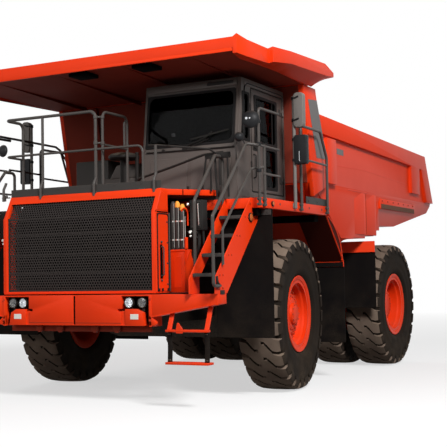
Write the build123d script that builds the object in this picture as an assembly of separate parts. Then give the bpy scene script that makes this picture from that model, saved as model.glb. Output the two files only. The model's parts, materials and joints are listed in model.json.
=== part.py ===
from build123d import *
import os
from math import atan2, cos, degrees, hypot, radians, sin

# Rigid rear-dump mining truck of the 60 t class, built as its real assemblies.
# Millimetres. +Z is up, the truck faces -Y and +X is its left side.
# The origin is on the ground, under the centre of the whole truck.
# Points named "station" are measured rearwards from the front axle.

os.makedirs("parts", exist_ok=True)

# ---------------------------------------------------------------- layout
front_axle_y = -2155.0
wheelbase = 4317.0
rear_axle_y = front_axle_y + wheelbase
running_gap = 0.3
panel_gap = 12.0
plate = 12.0

# ---------------------------------------------------------------- wheels
tyre_radius = 1080.0
tyre_width = 620.0
tyre_shoulder = 70.0
lug_depth = 48.0
lug_count = 17
lug_taper_deg = 1.4
rim_radius = 446.0
rim_flange_radius = 545.0
rim_wall = 22.0
axle_height = tyre_radius
front_wheel_x = 1846.0
rear_twin_x = 1494.0
twin_spacing = 804.0
kingpin_x = 1440.0
kingpin_radius = 45.0
knuckle_radius = 110.0
boss_half_height = 200.0
ear_height = 60.0
spindle_radius = 85.0
front_hub_radius = 190.0
rear_hub_radius = 330.0
rear_spindle_radius = 150.0
steer_rest_deg = 5.5

# ---------------------------------------------------------------- frame
rail_inner_x = 420.0
rail_outer_x = 600.0
rail_bottom_z = 1000.0
rail_top_z = 1500.0
rail_nose_top_z = 1440.0
tail_bottom_z = 1540.0
tail_top_z = 1930.0
tail_kick_from = wheelbase - 1267.0
tail_kick_to = wheelbase - 697.0
cross_tube_radius = 90.0
tower_half_length = 170.0
tower_top_z = 1950.0
strut_x = 850.0
strut_radius = 95.0
deck_post_stations = (-1405.0, 560.0)
deck_post_half = 70.0
deck_beam_height = 100.0
axle_beam_bottom_z = 740.0
axle_beam_half_depth = 130.0
rear_housing_radius = 360.0
rear_tube_radius = 230.0
rear_strut_x = 510.0

# ---------------------------------------------------------------- front housing
housing_bottom_z = rail_nose_top_z
housing_half_width = 1220.0
housing_front = -2430.0
housing_slope_z = 2480.0
housing_top_z = 2785.0
housing_top_front = -2275.0
housing_side_rear = -2110.0
grille_half_width = housing_half_width - 55.0
grille_bottom_z = 1475.0
grille_top_z = 2700.0
grille_thickness = 14.0
wing_x_rear = 1640.0
wing_station_rear = -1400.0
recess_inner_x = 1010.0

# ---------------------------------------------------------------- bumper
bumper_front = -2500.0
bumper_depth = 260.0
arm_depth = 240.0
bumper_half_width = 1190.0
bumper_bottom_z = 1030.0
bumper_top_z = 1425.0
beam_end_bottom_z = 1300.0
lamp_xs = (850.0, 1035.0)
lamp_z = 1325.0
lamp_radius = 72.0
lamp_recess_depth = 70.0
lamp_recess_x = (745.0, 1140.0)
lamp_recess_z = (1240.0, 1410.0)

# ---------------------------------------------------------------- deck and stairs
deck_half_width = 2280.0
deck_front = -1500.0
deck_rear = 780.0
deck_top_z = 2660.0
deck_edge_height = 135.0
deck_edge_thickness = 60.0
kick_height = 105.0
kick_thickness = 8.0
stair_outer_x = deck_half_width - 140.0
stair_inner_x = stair_outer_x - 360.0
beam_end_x = stair_outer_x
stringer_thickness = 16.0
stringer_depth = 255.0
stringer_slope = 1.02
stair_foot = -2560.0
stair_foot_z = bumper_top_z
stair_knee_z = 1620.0
step_count = 4
step_depth = 170.0
step_thickness = 30.0
hanger_x = (stair_inner_x - 355.0, stair_outer_x - 185.0)
hanger_front = bumper_front + 95.0
hanger_lean = 120.0
hanger_bottom_z = 560.0
hanger_middle_z = 995.0
hanger_width = 60.0
tread_depth = 155.0
tread_thickness = 32.0
tube_radius = 21.0
post_radius = 19.0
bar_radius = 16.0
tube_bend = 90.0
guard_top_z = 3880.0
guard_mid_z = 3365.0
side_guard_top_z = 3760.0
side_guard_mid_z = 3290.0
landing_top_z = 3815.0
landing_end = -975.0
rail_foot = stair_foot - 85.0
rail_knee_z = 2367.0
stair_slope_rail = 1.038
rail_corner_x = 1340.0
rail_post_x = 190.0
rail_middle_x = -695.0
rail_end_x = 930.0
front_return = housing_top_front + 420.0
gate_low_z = 3430.0

# ---------------------------------------------------------------- cab
cab_inner_x = 400.0
cab_outer_x = 1900.0
cab_rear = 110.0
cab_front_top = -1270.0
cab_front_bottom = -1480.0
cab_top_z = 4325.0
cab_wall = 45.0
cab_floor = 60.0
windshield_z = (3440.0, 4170.0)
window_margin = 55.0
door_stations = (-985.0, 45.0)
door_z = (2790.0, 4215.0)
door_gap = 8.0
door_window_z = (3480.0, 4120.0)
door_window_stations = (-870.0, -165.0)
door_low_window_z = (2860.0, 3425.0)
door_low_window_stations = (-560.0, -175.0)
quarter_stations = (-1245.0, -1050.0)
quarter_z = (3480.0, 4130.0)
glass_thickness = 8.0
hinge_radius = 16.0
hinge_pin_radius = 8.0
hinge_half_height = 45.0
hinge_heights = (3000.0, 4000.0)
hinge_leaf = (12.0, 60.0)
hinge_x = cab_outer_x + hinge_radius
hinge_station = door_stations[1] - door_gap / 2

# ---------------------------------------------------------------- bed
pivot_station = wheelbase + 1033.0
rail_rear = pivot_station + 210.0
pivot_z = 1860.0
pivot_radius = 50.0
lug_thickness = 60.0
lug_gap = 6.0
sill_inner_x = 430.0
sill_outer_x = 590.0
sill_bottom_z = tail_top_z + panel_gap
bed_half_width = deck_half_width - 80.0
side_outer_x = bed_half_width - 60.0
side_thickness = 80.0
floor_half_width = side_outer_x - 240.0
floor_thickness = 70.0
rail_box_width = 190.0
rail_box_height = 280.0
wall_foot_z = 3040.0
wall_rear_top = 6378.0
wall_rear_foot = 6876.0
wall_top_front_z = 4065.0
wall_top_rear_z = 3965.0
headboard_top = 150.0
headboard_top_z = 4425.0
headboard_foot = 440.0
headboard_foot_z = 3000.0
headboard_toe = 1450.0
headboard_toe_z = 2085.0
headboard_thickness = 75.0
gusset_depth = 545.0
gusset_foot_z = 2800.0
gusset_x = bed_half_width + 5.0
canopy_front = -2300.0
canopy_bottom_z = 4470.0
canopy_front_top_z = 4610.0
canopy_rear = 760.0
canopy_half_front = 2300.0
wing_lip_x = canopy_half_front + 100.0
wing_step_x = gusset_x + 245.0
# wing sections as (station, root low z, lip low z, lip top z, root top z): slim front, then wide
wing_front = (
    (canopy_front, 4400.0, 4400.0, 4646.0, 4610.0),
    (-2090.0, 4366.0, 4384.0, 4600.0, 4608.0),
    (-1430.0, 4400.0, 4416.0, 4609.0, 4592.0),
)
wing_rear = (
    (-1430.0, 4400.0, 4432.0, 4638.0, 4592.0),
    (-830.0, 4418.0, 4517.0, 4690.0, 4584.0),
    (428.0, 4425.0, 4571.0, 4748.0, 4600.0),
    (canopy_rear, 4575.0, 4600.0, 4665.0, 4620.0),
)
bed_travel_deg = 50.0

# stations and heights of the bed's lower edge, front to rear
bed_lower_edge = (
    (1450.0, 2085.0),
    (2000.0, 2085.0),
    (2340.0, 2200.0),
    (3500.0, 2345.0),
    (4000.0, 2500.0),
    (4790.0, 2510.0),
    (6730.0, 2850.0),
    (6876.0, 2990.0),
)
# folded ribs on the lower side, as (front, rear, bottom z), and the front panel's rear edge
bolster_x = side_outer_x - 35.0
bolster_panel = ((764.0, 2968.0), (1813.0, 2217.0), (2385.0, 2217.0))
bolsters = ((2385.0, 2955.0, 2240.0), (3420.0, 3716.0, 2400.0))
rub_bar = (3716.0, 5810.0, 2790.0, 2975.0)
# upright ribs on the wall, as (front, rear, bottom z)
wall_ribs = ((1060.0, 1445.0, 3041.0), (5440.0, 5980.0, 3180.0))
rear_post_depth = 400.0

# ---------------------------------------------------------------- hoist
hoist_x = 270.0
hoist_foot_station = 2300.0
hoist_foot_z = 1080.0
hoist_head_station = 3750.0
hoist_head_z = 2180.0
hoist_barrel_radius = 100.0
hoist_rod_radius = 62.0
hoist_eye_radius = 85.0
hoist_eye_width = 140.0
hoist_pin_radius = 45.0
hoist_barrel_end = 215.0
ear_gap = 8.0
ear_thickness = 35.0

# ---------------------------------------------------------------- small fittings
flap_thickness = 12.0
front_flap_station = -1335.0
front_flap_x = (1500.0, 2350.0)
front_flap_z = (820.0, 2515.0)
rear_flap_x = (1330.0, deck_half_width)
rear_flap_z = (580.0, 1850.0)
twin_flap_station = wheelbase - tyre_radius - 227.0
twin_flap_x = (850.0, deck_half_width - 30.0)
twin_flap_z = (1060.0, 2020.0)
bracket_z = (2005.0, 2195.0)
bracket_thickness = 25.0
fender_foot_station = 1440.0
fender_foot_z = 1845.0
fender_thickness = 14.0
fender_lip = 90.0
fender_inner_x = 1250.0
mirror_station = -450.0
mirror_post_radius = 24.0
mirror_x = (deck_half_width + 20.0, deck_half_width + 190.0)
low_mirror_x = (deck_half_width + 20.0, deck_half_width + 230.0)
mirror_z = (3690.0, 4185.0)
low_mirror_z = (3175.0, 3590.0)
mirror_depth = 90.0
bottle_chest_x = (1180.0, 1450.0)
bottle_xs = (1275.0, 1370.0)
bottle_radius = 42.0
bottle_station = -2000.0
bottle_top_z = 2640.0
chest_stations = (-2090.0, -1800.0)
chest_top_z = 2000.0
tank_outer_x = 1250.0
tank_stations = (1700.0, wheelbase - tyre_radius - 387.0)
tank_z = (1020.0, 1780.0)
grey_box_x = (-450.0, 250.0)
grey_box_stations = (-1150.0, -700.0)
grey_box_top_z = 3080.0
dark_box_x = (-1100.0, -520.0)
dark_box_stations = (-900.0, -450.0)
dark_box_top_z = 3400.0
engine_stations = (-2030.0, -250.0, 1100.0)
engine_bottom_z = (1060.0, 960.0)
engine_top_z = (2250.0, 1700.0, 1140.0)
radiator_top_z = 2420.0
amber_radius = 60.0
amber_station = -1566.0
amber_z = 2400.0


# ================================================================ helpers
def at(station):
    """Row-frame Y of a distance behind the front axle."""
    return front_axle_y + station


def block(x, y, z):
    """Box from its low and high x, y and z."""
    size = Box(x[1] - x[0], y[1] - y[0], z[1] - z[0])
    return Pos((x[0] + x[1]) / 2, (y[0] + y[1]) / 2, (z[0] + z[1]) / 2) * size


def side_prism(points, x0, x1):
    """Outline of (station, height) points, extruded from x0 to x1."""
    face = Plane.YZ.offset(x0) * Polygon(*[(at(s), z) for s, z in points], align=None)
    return extrude(face, amount=x1 - x0, dir=(1, 0, 0))


def front_prism(points, station0, station1):
    """Outline of (x, height) points, extruded between two stations."""
    face = Plane.XZ.offset(-at(station0)) * Polygon(*points, align=None)
    return extrude(face, amount=station1 - station0, dir=(0, 1, 0))


def plan_prism(points, z0, z1):
    """Outline of (x, station) points, extruded from z0 to z1."""
    face = Plane.XY.offset(z0) * Polygon(*[(x, at(s)) for x, s in points], align=None)
    return extrude(face, amount=z1 - z0, dir=(0, 0, 1))


def rod(start, end, radius):
    """Round bar between two points given as (x, station, z)."""
    a = Vector(start[0], at(start[1]), start[2])
    b = Vector(end[0], at(end[1]), end[2])
    axis = b - a
    return Plane(a, z_dir=axis) * Cylinder(radius, axis.length, align=(Align.CENTER, Align.CENTER, Align.MIN))


def cross_pin(x0, x1, station, z, radius):
    """Round bar along X."""
    return rod((x0, station, z), (x1, station, z), radius)


def railing(points, radius=tube_radius, bend=tube_bend):
    """Bent tube through (x, station, z) points, with a round bend at each corner."""
    path = FilletPolyline(*[(x, at(s), z) for x, s, z in points], radius=bend)
    section = Plane(path @ 0, z_dir=path % 0) * Circle(radius)
    return sweep(section, path=path)


def both_sides(shape):
    """The shape and its mirror image across the truck's centre plane."""
    return Compound([*shape.solids(), *mirror(shape, about=Plane.YZ).solids()])


def fused(shapes):
    """One shape from a list of shapes."""
    result = shapes[0]
    for other in shapes[1:]:
        result += other
    return result


def together(shapes):
    """A compound of solids that don't touch."""
    return Compound([solid for shape in shapes for solid in shape.solids()])


def save(name, shape):
    export_step(shape, f"parts/{name}.step")


# ================================================================ wheels
def tyre_ring(centre_x):
    """Flat-faced tyre along X at the origin: two staggered rings of lugs on one carcass."""
    half = tyre_width / 2
    step = 360.0 / (2 * lug_count)
    bead = half * 0.80 - running_gap
    base = tyre_radius - lug_depth
    tip = tyre_radius / cos(radians(step / 2 - lug_taper_deg))
    bore = (rim_radius + running_gap) / cos(radians(step / 2))
    rings = ((bore, bead), (rim_flange_radius + 8, bead), (tyre_radius * 0.75, half), (base, half * 0.88))
    faces = []

    def corner(radius, x, turn):
        angle = radians(turn * step - 90 - step / 2)
        return (centre_x + x, radius * cos(angle), radius * sin(angle))

    def quad(*corners):
        faces.append(Face(Wire.make_polygon([corner(*c) for c in corners], close=True)))

    for i in range(2 * lug_count):
        quad((bore, -bead, i), (bore, bead, i), (bore, bead, i + 1), (bore, -bead, i + 1))
        for side in (-1, 1):
            for (r0, x0), (r1, x1) in zip(rings, rings[1:]):
                quad((r0, side * x0, i), (r1, side * x1, i), (r1, side * x1, i + 1), (r0, side * x0, i + 1))
            end = side * half * 0.88
            if i % 2 == (side + 1) // 2:
                quad((base, 0, i), (base, end, i), (base, end, i + 1), (base, 0, i + 1))
                continue
            low, high = i + lug_taper_deg / step, i + 1 - lug_taper_deg / step
            edge = side * half * 0.80
            quad((tip, 0, low), (tip, edge, low), (tip, edge, high), (tip, 0, high))
            quad((base, 0, i), (base, end, i), (tip, edge, low), (tip, 0, low))
            quad((base, 0, i + 1), (base, end, i + 1), (tip, edge, high), (tip, 0, high))
            quad((base, end, i), (base, end, i + 1), (tip, edge, high), (tip, edge, low))
            quad((base, 0, i), (base, 0, i + 1), (tip, 0, high), (tip, 0, low))
    return Solid(Shell(faces))


def rim_shell(centre_x, face_side):
    """Rim barrel with both flanges; face_side is +1 or -1."""
    half = tyre_width / 2
    seat = half * 0.80
    outer = [
        (rim_radius, -seat),
        (rim_flange_radius, -seat),
        (rim_flange_radius, -half + 14),
        (rim_radius - rim_wall, -half + 2),
        (rim_radius - rim_wall, half - 2),
        (rim_flange_radius, half - 14),
        (rim_flange_radius, seat),
        (rim_radius, seat),
    ]
    face = Plane.XY * Polygon(*[(x * face_side + centre_x, r) for r, x in outer], align=None)
    return revolve(face, axis=Axis.X)


def disc(x0, x1, radius, bore=0.0):
    """Round plate along X at the origin."""
    solid = Pos((x0 + x1) / 2, 0, 0) * Rot(0, 90, 0) * Cylinder(radius, abs(x1 - x0))
    if bore:
        solid -= Pos((x0 + x1) / 2, 0, 0) * Rot(0, 90, 0) * Cylinder(bore, abs(x1 - x0) + 2)
    return solid


def front_rim(side):
    """Front rim and hub, in wheel position before steering."""
    face_x = front_wheel_x + tyre_width / 2 - 150
    shell = rim_shell(0, 1)
    shell = Pos(front_wheel_x, 0, 0) * shell
    web = disc(face_x - 30, face_x, rim_radius - rim_wall + 1)
    hub = disc(front_wheel_x - 215, face_x + 70, front_hub_radius)
    ring = disc(face_x, face_x + 25, front_hub_radius + 110)
    body = shell + web + hub + ring
    body -= disc(front_wheel_x - 216, front_wheel_x - 40, spindle_radius + running_gap)
    return body if side > 0 else mirror(body, about=Plane.YZ)


def rear_rims(side):
    """Both rims of one rear corner on their shared hub."""
    inner_x = rear_twin_x - twin_spacing / 2
    outer_x = rear_twin_x + twin_spacing / 2
    body = rim_shell(inner_x, 1) + rim_shell(outer_x, 1)
    body += disc(rail_outer_x + 130, outer_x - 90, rear_hub_radius)
    body += disc(outer_x - 130, outer_x - 90, rim_radius - rim_wall + 1)
    body += disc(inner_x - 20, inner_x + 20, rim_radius - rim_wall + 1)
    body += disc(outer_x - 90, outer_x - 40, rear_hub_radius - 60)
    body -= disc(rail_outer_x + 129, rail_outer_x + 400, rear_spindle_radius + running_gap)
    return body if side > 0 else mirror(body, about=Plane.YZ)


def at_front_axle(shape, side):
    """Move a front wheel piece to its axle and turn it to the rest steering angle."""
    placed = Pos(0, front_axle_y, axle_height) * shape
    return turned(placed, side)


def turned(shape, side):
    """Turn a placed steering piece about its kingpin to the rest angle."""
    pin = Axis((side * kingpin_x, front_axle_y, 0), (0, 0, 1))
    return shape.rotate(pin, steer_rest_deg)


def make_wheels():
    for name, side in (("left", 1), ("right", -1)):
        ring = tyre_ring(0)
        save(f"front_tyre_{name}", at_front_axle(Pos(side * front_wheel_x, 0, 0) * ring, side))
        save(f"front_rim_{name}", at_front_axle(front_rim(side), side))
        pair = together([
            Pos(side * (rear_twin_x - twin_spacing / 2), rear_axle_y, axle_height) * ring,
            Pos(side * (rear_twin_x + twin_spacing / 2), rear_axle_y, axle_height) * ring,
        ])
        save(f"rear_tyres_{name}", pair)
        save(f"rear_rims_{name}", Pos(0, rear_axle_y, axle_height) * rear_rims(side))
        save(f"steering_knuckle_{name}", turned(steering_knuckle(side), side))


def steering_knuckle(side):
    """C-shaped knuckle on its kingpin, with the wheel's spindle."""
    clear = 5.0
    back_x = kingpin_x + knuckle_radius + clear
    low = axle_height - boss_half_height - clear - ear_height
    high = axle_height + boss_half_height + clear
    body = block((back_x, back_x + 50), (front_axle_y - 130, front_axle_y + 130), (low, high + ear_height))
    for z in (low, high):
        body += Pos(kingpin_x, front_axle_y, z + ear_height / 2) * Cylinder(knuckle_radius, ear_height)
        body += block((kingpin_x, back_x + 10), (front_axle_y - 90, front_axle_y + 90), (z, z + ear_height))
    body += Pos(kingpin_x, front_axle_y, axle_height) * Cylinder(kingpin_radius, 2 * boss_half_height + 40)
    body += cross_pin(back_x, front_wheel_x - 41, 0, axle_height, spindle_radius)
    return body if side > 0 else mirror(body, about=Plane.YZ)


# ================================================================ frame and axles
def chassis_frame():
    rail_front = bumper_front + bumper_depth
    outline = (
        (rail_front, rail_bottom_z),
        (tail_kick_from, rail_bottom_z),
        (tail_kick_to, tail_bottom_z),
        (rail_rear, tail_bottom_z),
        (rail_rear, tail_top_z),
        (tail_kick_to, tail_top_z),
        (tail_kick_from, rail_top_z),
        (housing_side_rear + 60, rail_top_z),
        (housing_side_rear, rail_nose_top_z),
        (rail_front, rail_nose_top_z),
    )
    rail = side_prism(outline, rail_inner_x, rail_outer_x)
    rail += block((rail_inner_x, rail_outer_x), (at(-300), at(300)), (rail_top_z - 50, tower_top_z))
    tower_y = (at(-tower_half_length), at(tower_half_length))
    rail += block((rail_inner_x, strut_x + strut_radius + 30), tower_y, (tower_top_z - 120, tower_top_z))
    rail += cross_pin(rail_inner_x + 10, rail_outer_x + lug_gap + lug_thickness + 24, pivot_station, pivot_z, pivot_radius)
    frame = fused([rail, mirror(rail, about=Plane.YZ)])
    for station, z in ((1300.0, 1250.0), (3350.0, 1480.0), (5150.0, 1735.0)):
        frame += cross_pin(-rail_inner_x - 5, rail_inner_x + 5, station, z, cross_tube_radius)
    frame += cross_pin(-rail_inner_x - 5, rail_inner_x + 5, hoist_foot_station, hoist_foot_z, hoist_pin_radius)
    nose_y = (at(rail_front), at(rail_front + 160))
    frame += block((-rail_inner_x - 5, rail_inner_x + 5), nose_y, (rail_bottom_z, rail_bottom_z + 300))
    return frame


def deck_supports():
    """Two cross beams under the deck, each on two posts from the rails."""
    beam_top = deck_top_z - deck_edge_height
    supports = []
    for station in deck_post_stations:
        y = (at(station - deck_post_half), at(station + deck_post_half))
        beam = block((-deck_half_width + 80, deck_half_width - 80), y, (beam_top - deck_beam_height, beam_top))
        post = block((rail_inner_x + 20, rail_outer_x - 20), y, (rail_top_z, beam_top - deck_beam_height + 1))
        supports.append(fused([beam, post, mirror(post, about=Plane.YZ)]))
    return together(supports)


def front_axle_beam():
    """Drop beam under the rails, with a kingpin boss at each end and its two struts."""
    end_x = kingpin_x - 100
    half = [
        (0, axle_beam_bottom_z),
        (900, axle_beam_bottom_z),
        (end_x, axle_height - boss_half_height + 20),
        (end_x, axle_height + boss_half_height - 20),
        (end_x - 130, axle_height + boss_half_height - 20),
        (rail_outer_x + 100, rail_bottom_z),
        (0, rail_bottom_z),
    ]
    arm = front_prism(half, -axle_beam_half_depth, axle_beam_half_depth)
    arm += Pos(kingpin_x, front_axle_y, axle_height) * Cylinder(knuckle_radius, 2 * boss_half_height)
    arm += block((end_x - 10, kingpin_x), (front_axle_y - 80, front_axle_y + 80), (axle_height - 150, axle_height + 150))
    arm += rod((strut_x, 0, rail_bottom_z - 20), (strut_x, 0, tower_top_z - 120), strut_radius)
    arm -= Pos(kingpin_x, front_axle_y, axle_height) * Cylinder(kingpin_radius + running_gap, 3 * boss_half_height)
    return arm + mirror(arm, about=Plane.YZ)


def rear_axle():
    """Banjo housing with tubes and spindles, and the tapered A-frame to the rails."""
    y = rear_axle_y
    body = Pos(0, y, axle_height) * Sphere(rear_housing_radius)
    body += Pos(0, y, axle_height) * Rot(0, 90, 0) * Cylinder(rear_tube_radius, 2 * (rail_outer_x + 120))
    body += Pos(0, y, axle_height) * Rot(0, 90, 0) * Cylinder(rear_spindle_radius, 2 * (rail_outer_x + 380))
    body += side_prism(((2700, 940), (wheelbase - 100, 900), (wheelbase - 100, 1240), (2700, 1100)), -110, 110)
    body += cross_pin(-rail_inner_x, rail_inner_x, 2740, 1020, 70)
    strut = rod((rear_strut_x, wheelbase, axle_height), (rear_strut_x, wheelbase, tail_bottom_z), 60)
    return fused([body, strut, mirror(strut, about=Plane.YZ)])


def engine_and_radiator():
    """Engine with transmission as one plain block, and the radiator behind the grille."""
    half = rail_inner_x
    front, middle, rear = engine_stations
    low, low_rear = engine_bottom_z
    high, high_middle, high_rear = engine_top_z
    engine = side_prism((
        (front, low), (middle, low), (rear, low_rear), (rear, high_rear), (middle, high_middle), (middle, high),
        (front, high)), -half, half)
    core_x = grille_half_width - 60
    core_y = (at(housing_front + 130), at(housing_side_rear - 10))
    core = block((-core_x, core_x), core_y, (grille_bottom_z, radiator_top_z))
    return together([engine, core])


# ================================================================ front housing and bumper
def front_housing():
    """Sheet-metal housing round the radiator, with a side bay on each flank."""
    t = 30.0
    nose = (
        (housing_front, housing_bottom_z),
        (housing_side_rear, housing_bottom_z),
        (housing_side_rear, housing_top_z),
        (housing_top_front, housing_top_z),
        (housing_front, housing_slope_z),
    )
    shell = side_prism(nose, -housing_half_width, housing_half_width)
    inside = (
        (housing_front - 50, grille_bottom_z),
        (housing_side_rear + 50, grille_bottom_z),
        (housing_side_rear + 50, housing_top_z - t - 30),
        (housing_top_front - 25, housing_top_z - t - 30),
        (housing_front - 50, housing_slope_z - 40),
    )
    shell -= side_prism(inside, -grille_half_width, grille_half_width)
    half_roof = [
        (0, housing_side_rear),
        (housing_half_width, housing_side_rear),
        (wing_x_rear, wing_station_rear - 100 - panel_gap),
        (0, wing_station_rear - 100 - panel_gap),
    ]
    roof = plan_prism(half_roof, housing_top_z - 75, housing_top_z)
    roof += mirror(roof, about=Plane.YZ)
    back = block((-recess_inner_x, -recess_inner_x + t), (at(housing_side_rear), at(wing_station_rear - 110)), (rail_top_z, housing_top_z - 75))
    shell += roof + back + mirror(back, about=Plane.YZ)
    return shell


def radiator_grille():
    """Flat guard in the housing's front opening."""
    nose = (
        (housing_front + 20, grille_bottom_z),
        (housing_front + 20, housing_slope_z - 12),
        (housing_top_front + 8, grille_top_z),
        (housing_top_front + 8 + grille_thickness * 1.4, grille_top_z - 8),
        (housing_front + 20 + grille_thickness, housing_slope_z - 20),
        (housing_front + 20 + grille_thickness, grille_bottom_z),
    )
    return side_prism(nose, -grille_half_width, grille_half_width)


def bumper_arm():
    """Tapering arm from the bumper's left end out to the stair."""
    return front_prism(
        ((bumper_half_width - 5, bumper_bottom_z + 110), (bumper_half_width - 5, bumper_top_z),
         (beam_end_x, bumper_top_z), (beam_end_x, beam_end_bottom_z)),
        bumper_front, bumper_front + arm_depth)


def front_bumper():
    """Bumper box with lamp recesses, and the tapering arms that carry the stairs."""
    y = (at(bumper_front), at(bumper_front + bumper_depth))
    body = block((-bumper_half_width, bumper_half_width), y, (bumper_bottom_z, bumper_top_z))
    arm = bumper_arm()
    recess = block(lamp_recess_x, (y[0] - 5, y[0] + lamp_recess_depth), lamp_recess_z)
    for piece in (arm, mirror(arm, about=Plane.YZ)):
        body += piece
    for piece in (recess, mirror(recess, about=Plane.YZ)):
        body -= piece
    body -= block((-6, 6), (y[0] - 5, y[0] + 40), (bumper_bottom_z - 5, bumper_top_z + 5))
    return body


def headlamps():
    lamps = []
    for x in lamp_xs:
        lamp = rod((x, bumper_front + 12, lamp_z), (x, bumper_front + lamp_recess_depth, lamp_z), lamp_radius)
        lamps.append(lamp)
    return both_sides(together(lamps))


# ================================================================ deck, stairs and rails
def upper_deck():
    z0 = deck_top_z - deck_edge_height
    left = (at(deck_front), at(deck_rear))
    slab = block((-deck_half_width, deck_half_width), left, (z0, deck_top_z))
    inner = deck_half_width - deck_edge_thickness
    slab -= block((-inner, inner), (left[0] + 60, left[1] - 60), (z0 - 1, deck_top_z - plate))
    posts = []
    for station in deck_post_stations:
        posts.append(block((-inner, inner), (at(station - 60), at(station + 60)), (z0, deck_top_z - plate)))
    return fused([slab, *posts])


def deck_kick_plates():
    front_z = (housing_top_z, housing_top_z + kick_height)
    front = block((-housing_half_width, housing_half_width), (at(housing_top_front + 5), at(housing_top_front + 5 + kick_thickness)), front_z)
    side_x = (deck_half_width - kick_thickness, deck_half_width)
    side = block(side_x, (at(0), at(deck_rear - 5)), (deck_top_z, deck_top_z + kick_height))
    return together([front, both_sides(side)])


def access_stair(side):
    """Inclined stair on two deep stringers that end at the deck's front edge."""
    def upper(station):
        return stair_knee_z + (station - stair_foot) * stringer_slope

    foot_rear = stair_foot + stringer_depth
    crest = stair_foot + (deck_top_z - stair_knee_z) / stringer_slope
    outline = (
        (stair_foot, stair_foot_z),
        (stair_foot, stair_knee_z),
        (crest, deck_top_z),
        (deck_front, deck_top_z),
        (deck_front, upper(deck_front - stringer_depth)),
        (foot_rear, upper(foot_rear - stringer_depth)),
        (foot_rear, stair_foot_z),
    )
    pieces = []
    for x in (stair_inner_x, stair_outer_x):
        pieces.append(side_prism(outline, x - stringer_thickness, x))
    rise = (deck_top_z - stair_foot_z) / (step_count + 1)
    for i in range(step_count):
        z = stair_foot_z + rise * (i + 1)
        front = stair_foot + 30 + max(0.0, z - stair_knee_z) / stringer_slope
        span = (stair_inner_x - 1, stair_outer_x - stringer_thickness + 1)
        pieces.append(block(span, (at(front), at(front + step_depth)), (z - step_thickness, z)))
    stair = fused(pieces)
    return stair if side > 0 else mirror(stair, about=Plane.YZ)


def hung_step(side):
    """Two straps leaning forward from the bumper arm, with a middle bar and a bottom tread."""
    span = (hanger_x[0] - 25, hanger_x[1] + hanger_width + 20)
    knee = hanger_front - hanger_lean
    parts = []
    for x in hanger_x:
        strap = side_prism((
            (hanger_front, beam_end_bottom_z + 20), (hanger_front + 28, beam_end_bottom_z + 20),
            (knee + 28, hanger_middle_z), (knee + 28, hanger_bottom_z), (knee, hanger_bottom_z), (knee, hanger_middle_z)),
            x, x + hanger_width)
        parts.append(strap)
    parts.append(block(span, (at(knee - 35), at(knee + 55)), (hanger_middle_z - 40, hanger_middle_z)))
    parts.append(block(span, (at(knee - 35), at(knee - 35 + tread_depth)), (hanger_bottom_z, hanger_bottom_z + tread_thickness)))
    step = fused(parts) - bumper_arm()
    return step if side > 0 else mirror(step, about=Plane.YZ)


def handrails():
    """Guard rails round the deck and up the stairs."""
    y0 = housing_top_front + 40
    base = housing_top_z
    front = fused([
        railing(((-rail_corner_x, front_return, base), (-rail_corner_x, front_return, guard_top_z),
                 (-rail_corner_x, y0, guard_top_z), (rail_post_x, y0, guard_top_z), (rail_post_x, y0, base))),
        rod((rail_middle_x, y0, base), (rail_middle_x, y0, guard_top_z), post_radius),
        railing(((-rail_corner_x, front_return, guard_mid_z), (-rail_corner_x, y0, guard_mid_z), (rail_end_x, y0, guard_mid_z),
                 (rail_end_x, y0, base)), bar_radius),
    ])
    gate_x = rail_post_x + 70
    gate = fused([
        railing(((gate_x, y0 + 60, base), (gate_x, y0 + 60, guard_top_z - 5),
                 (gate_x, y0 + 660, guard_top_z - 5), (gate_x, y0 + 660, base)), post_radius),
        rod((gate_x, y0 + 60, gate_low_z), (gate_x, y0 + 660, gate_low_z), bar_radius),
    ])
    side_x = deck_half_width + tube_radius + running_gap
    low = deck_top_z - 100
    flank = fused([
        railing(((side_x, deck_rear - 20, low), (side_x, deck_rear - 10, side_guard_top_z - 370), (side_x, 530, side_guard_top_z),
                 (side_x, -224, side_guard_top_z), (side_x, -224, low))),
        rod((side_x, -224, side_guard_mid_z), (side_x, deck_rear - 20, side_guard_mid_z - 15), bar_radius),
    ])
    landing = fused([
        railing(((side_x, -1600, low), (side_x, -1600, landing_top_z), (side_x, landing_end, landing_top_z)), post_radius, 60.0),
        rod((side_x, -1440, low), (side_x, -1440, guard_mid_z - 13), post_radius),
        rod((side_x, -1640, guard_mid_z - 35), (side_x, landing_end, guard_mid_z - 35), bar_radius),
        rod((side_x, -1480, guard_mid_z - 395), (side_x, landing_end, guard_mid_z - 395), bar_radius),
    ])
    out_x = stair_outer_x + tube_radius + running_gap
    in_x = stair_inner_x - stringer_thickness - tube_radius - running_gap
    outer = fused([
        railing(((out_x, stair_foot + 80, stair_foot_z + 100), (out_x, rail_foot, stair_foot_z + 100),
                 (out_x, rail_foot, rail_knee_z), (out_x, -1700, rail_knee_z + (-1700 - rail_foot) * stair_slope_rail),
                 (side_x, -1600, rail_knee_z + (-1700 - rail_foot) * stair_slope_rail - 20)), tube_radius, 50.0),
        railing(((out_x, -2390, 1780), (out_x, -2390, 2215), (out_x, -1560, 3035), (side_x, -1440, 3055)), bar_radius, 40.0),
    ])
    inner = railing(((in_x, -2340, 1700), (in_x, -2340, 2594), (in_x, -1773, 3217), (in_x, -1560, 3217),
                     (in_x, -1560, deck_top_z - 90)), tube_radius, 60.0)
    stair = together([fused([outer, landing]), inner])
    return together([front, gate, *both_sides(flank).solids(), *both_sides(stair).solids()])


# ================================================================ cab
def cab_profile(inset):
    """Side outline of the cab, (station, height), moved inwards by inset."""
    return (
        (cab_front_bottom + inset, deck_top_z + (cab_floor if inset else 0)),
        (cab_rear - inset, deck_top_z + (cab_floor if inset else 0)),
        (cab_rear - inset, cab_top_z - inset),
        (cab_front_top + inset, cab_top_z - inset),
    )


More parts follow.
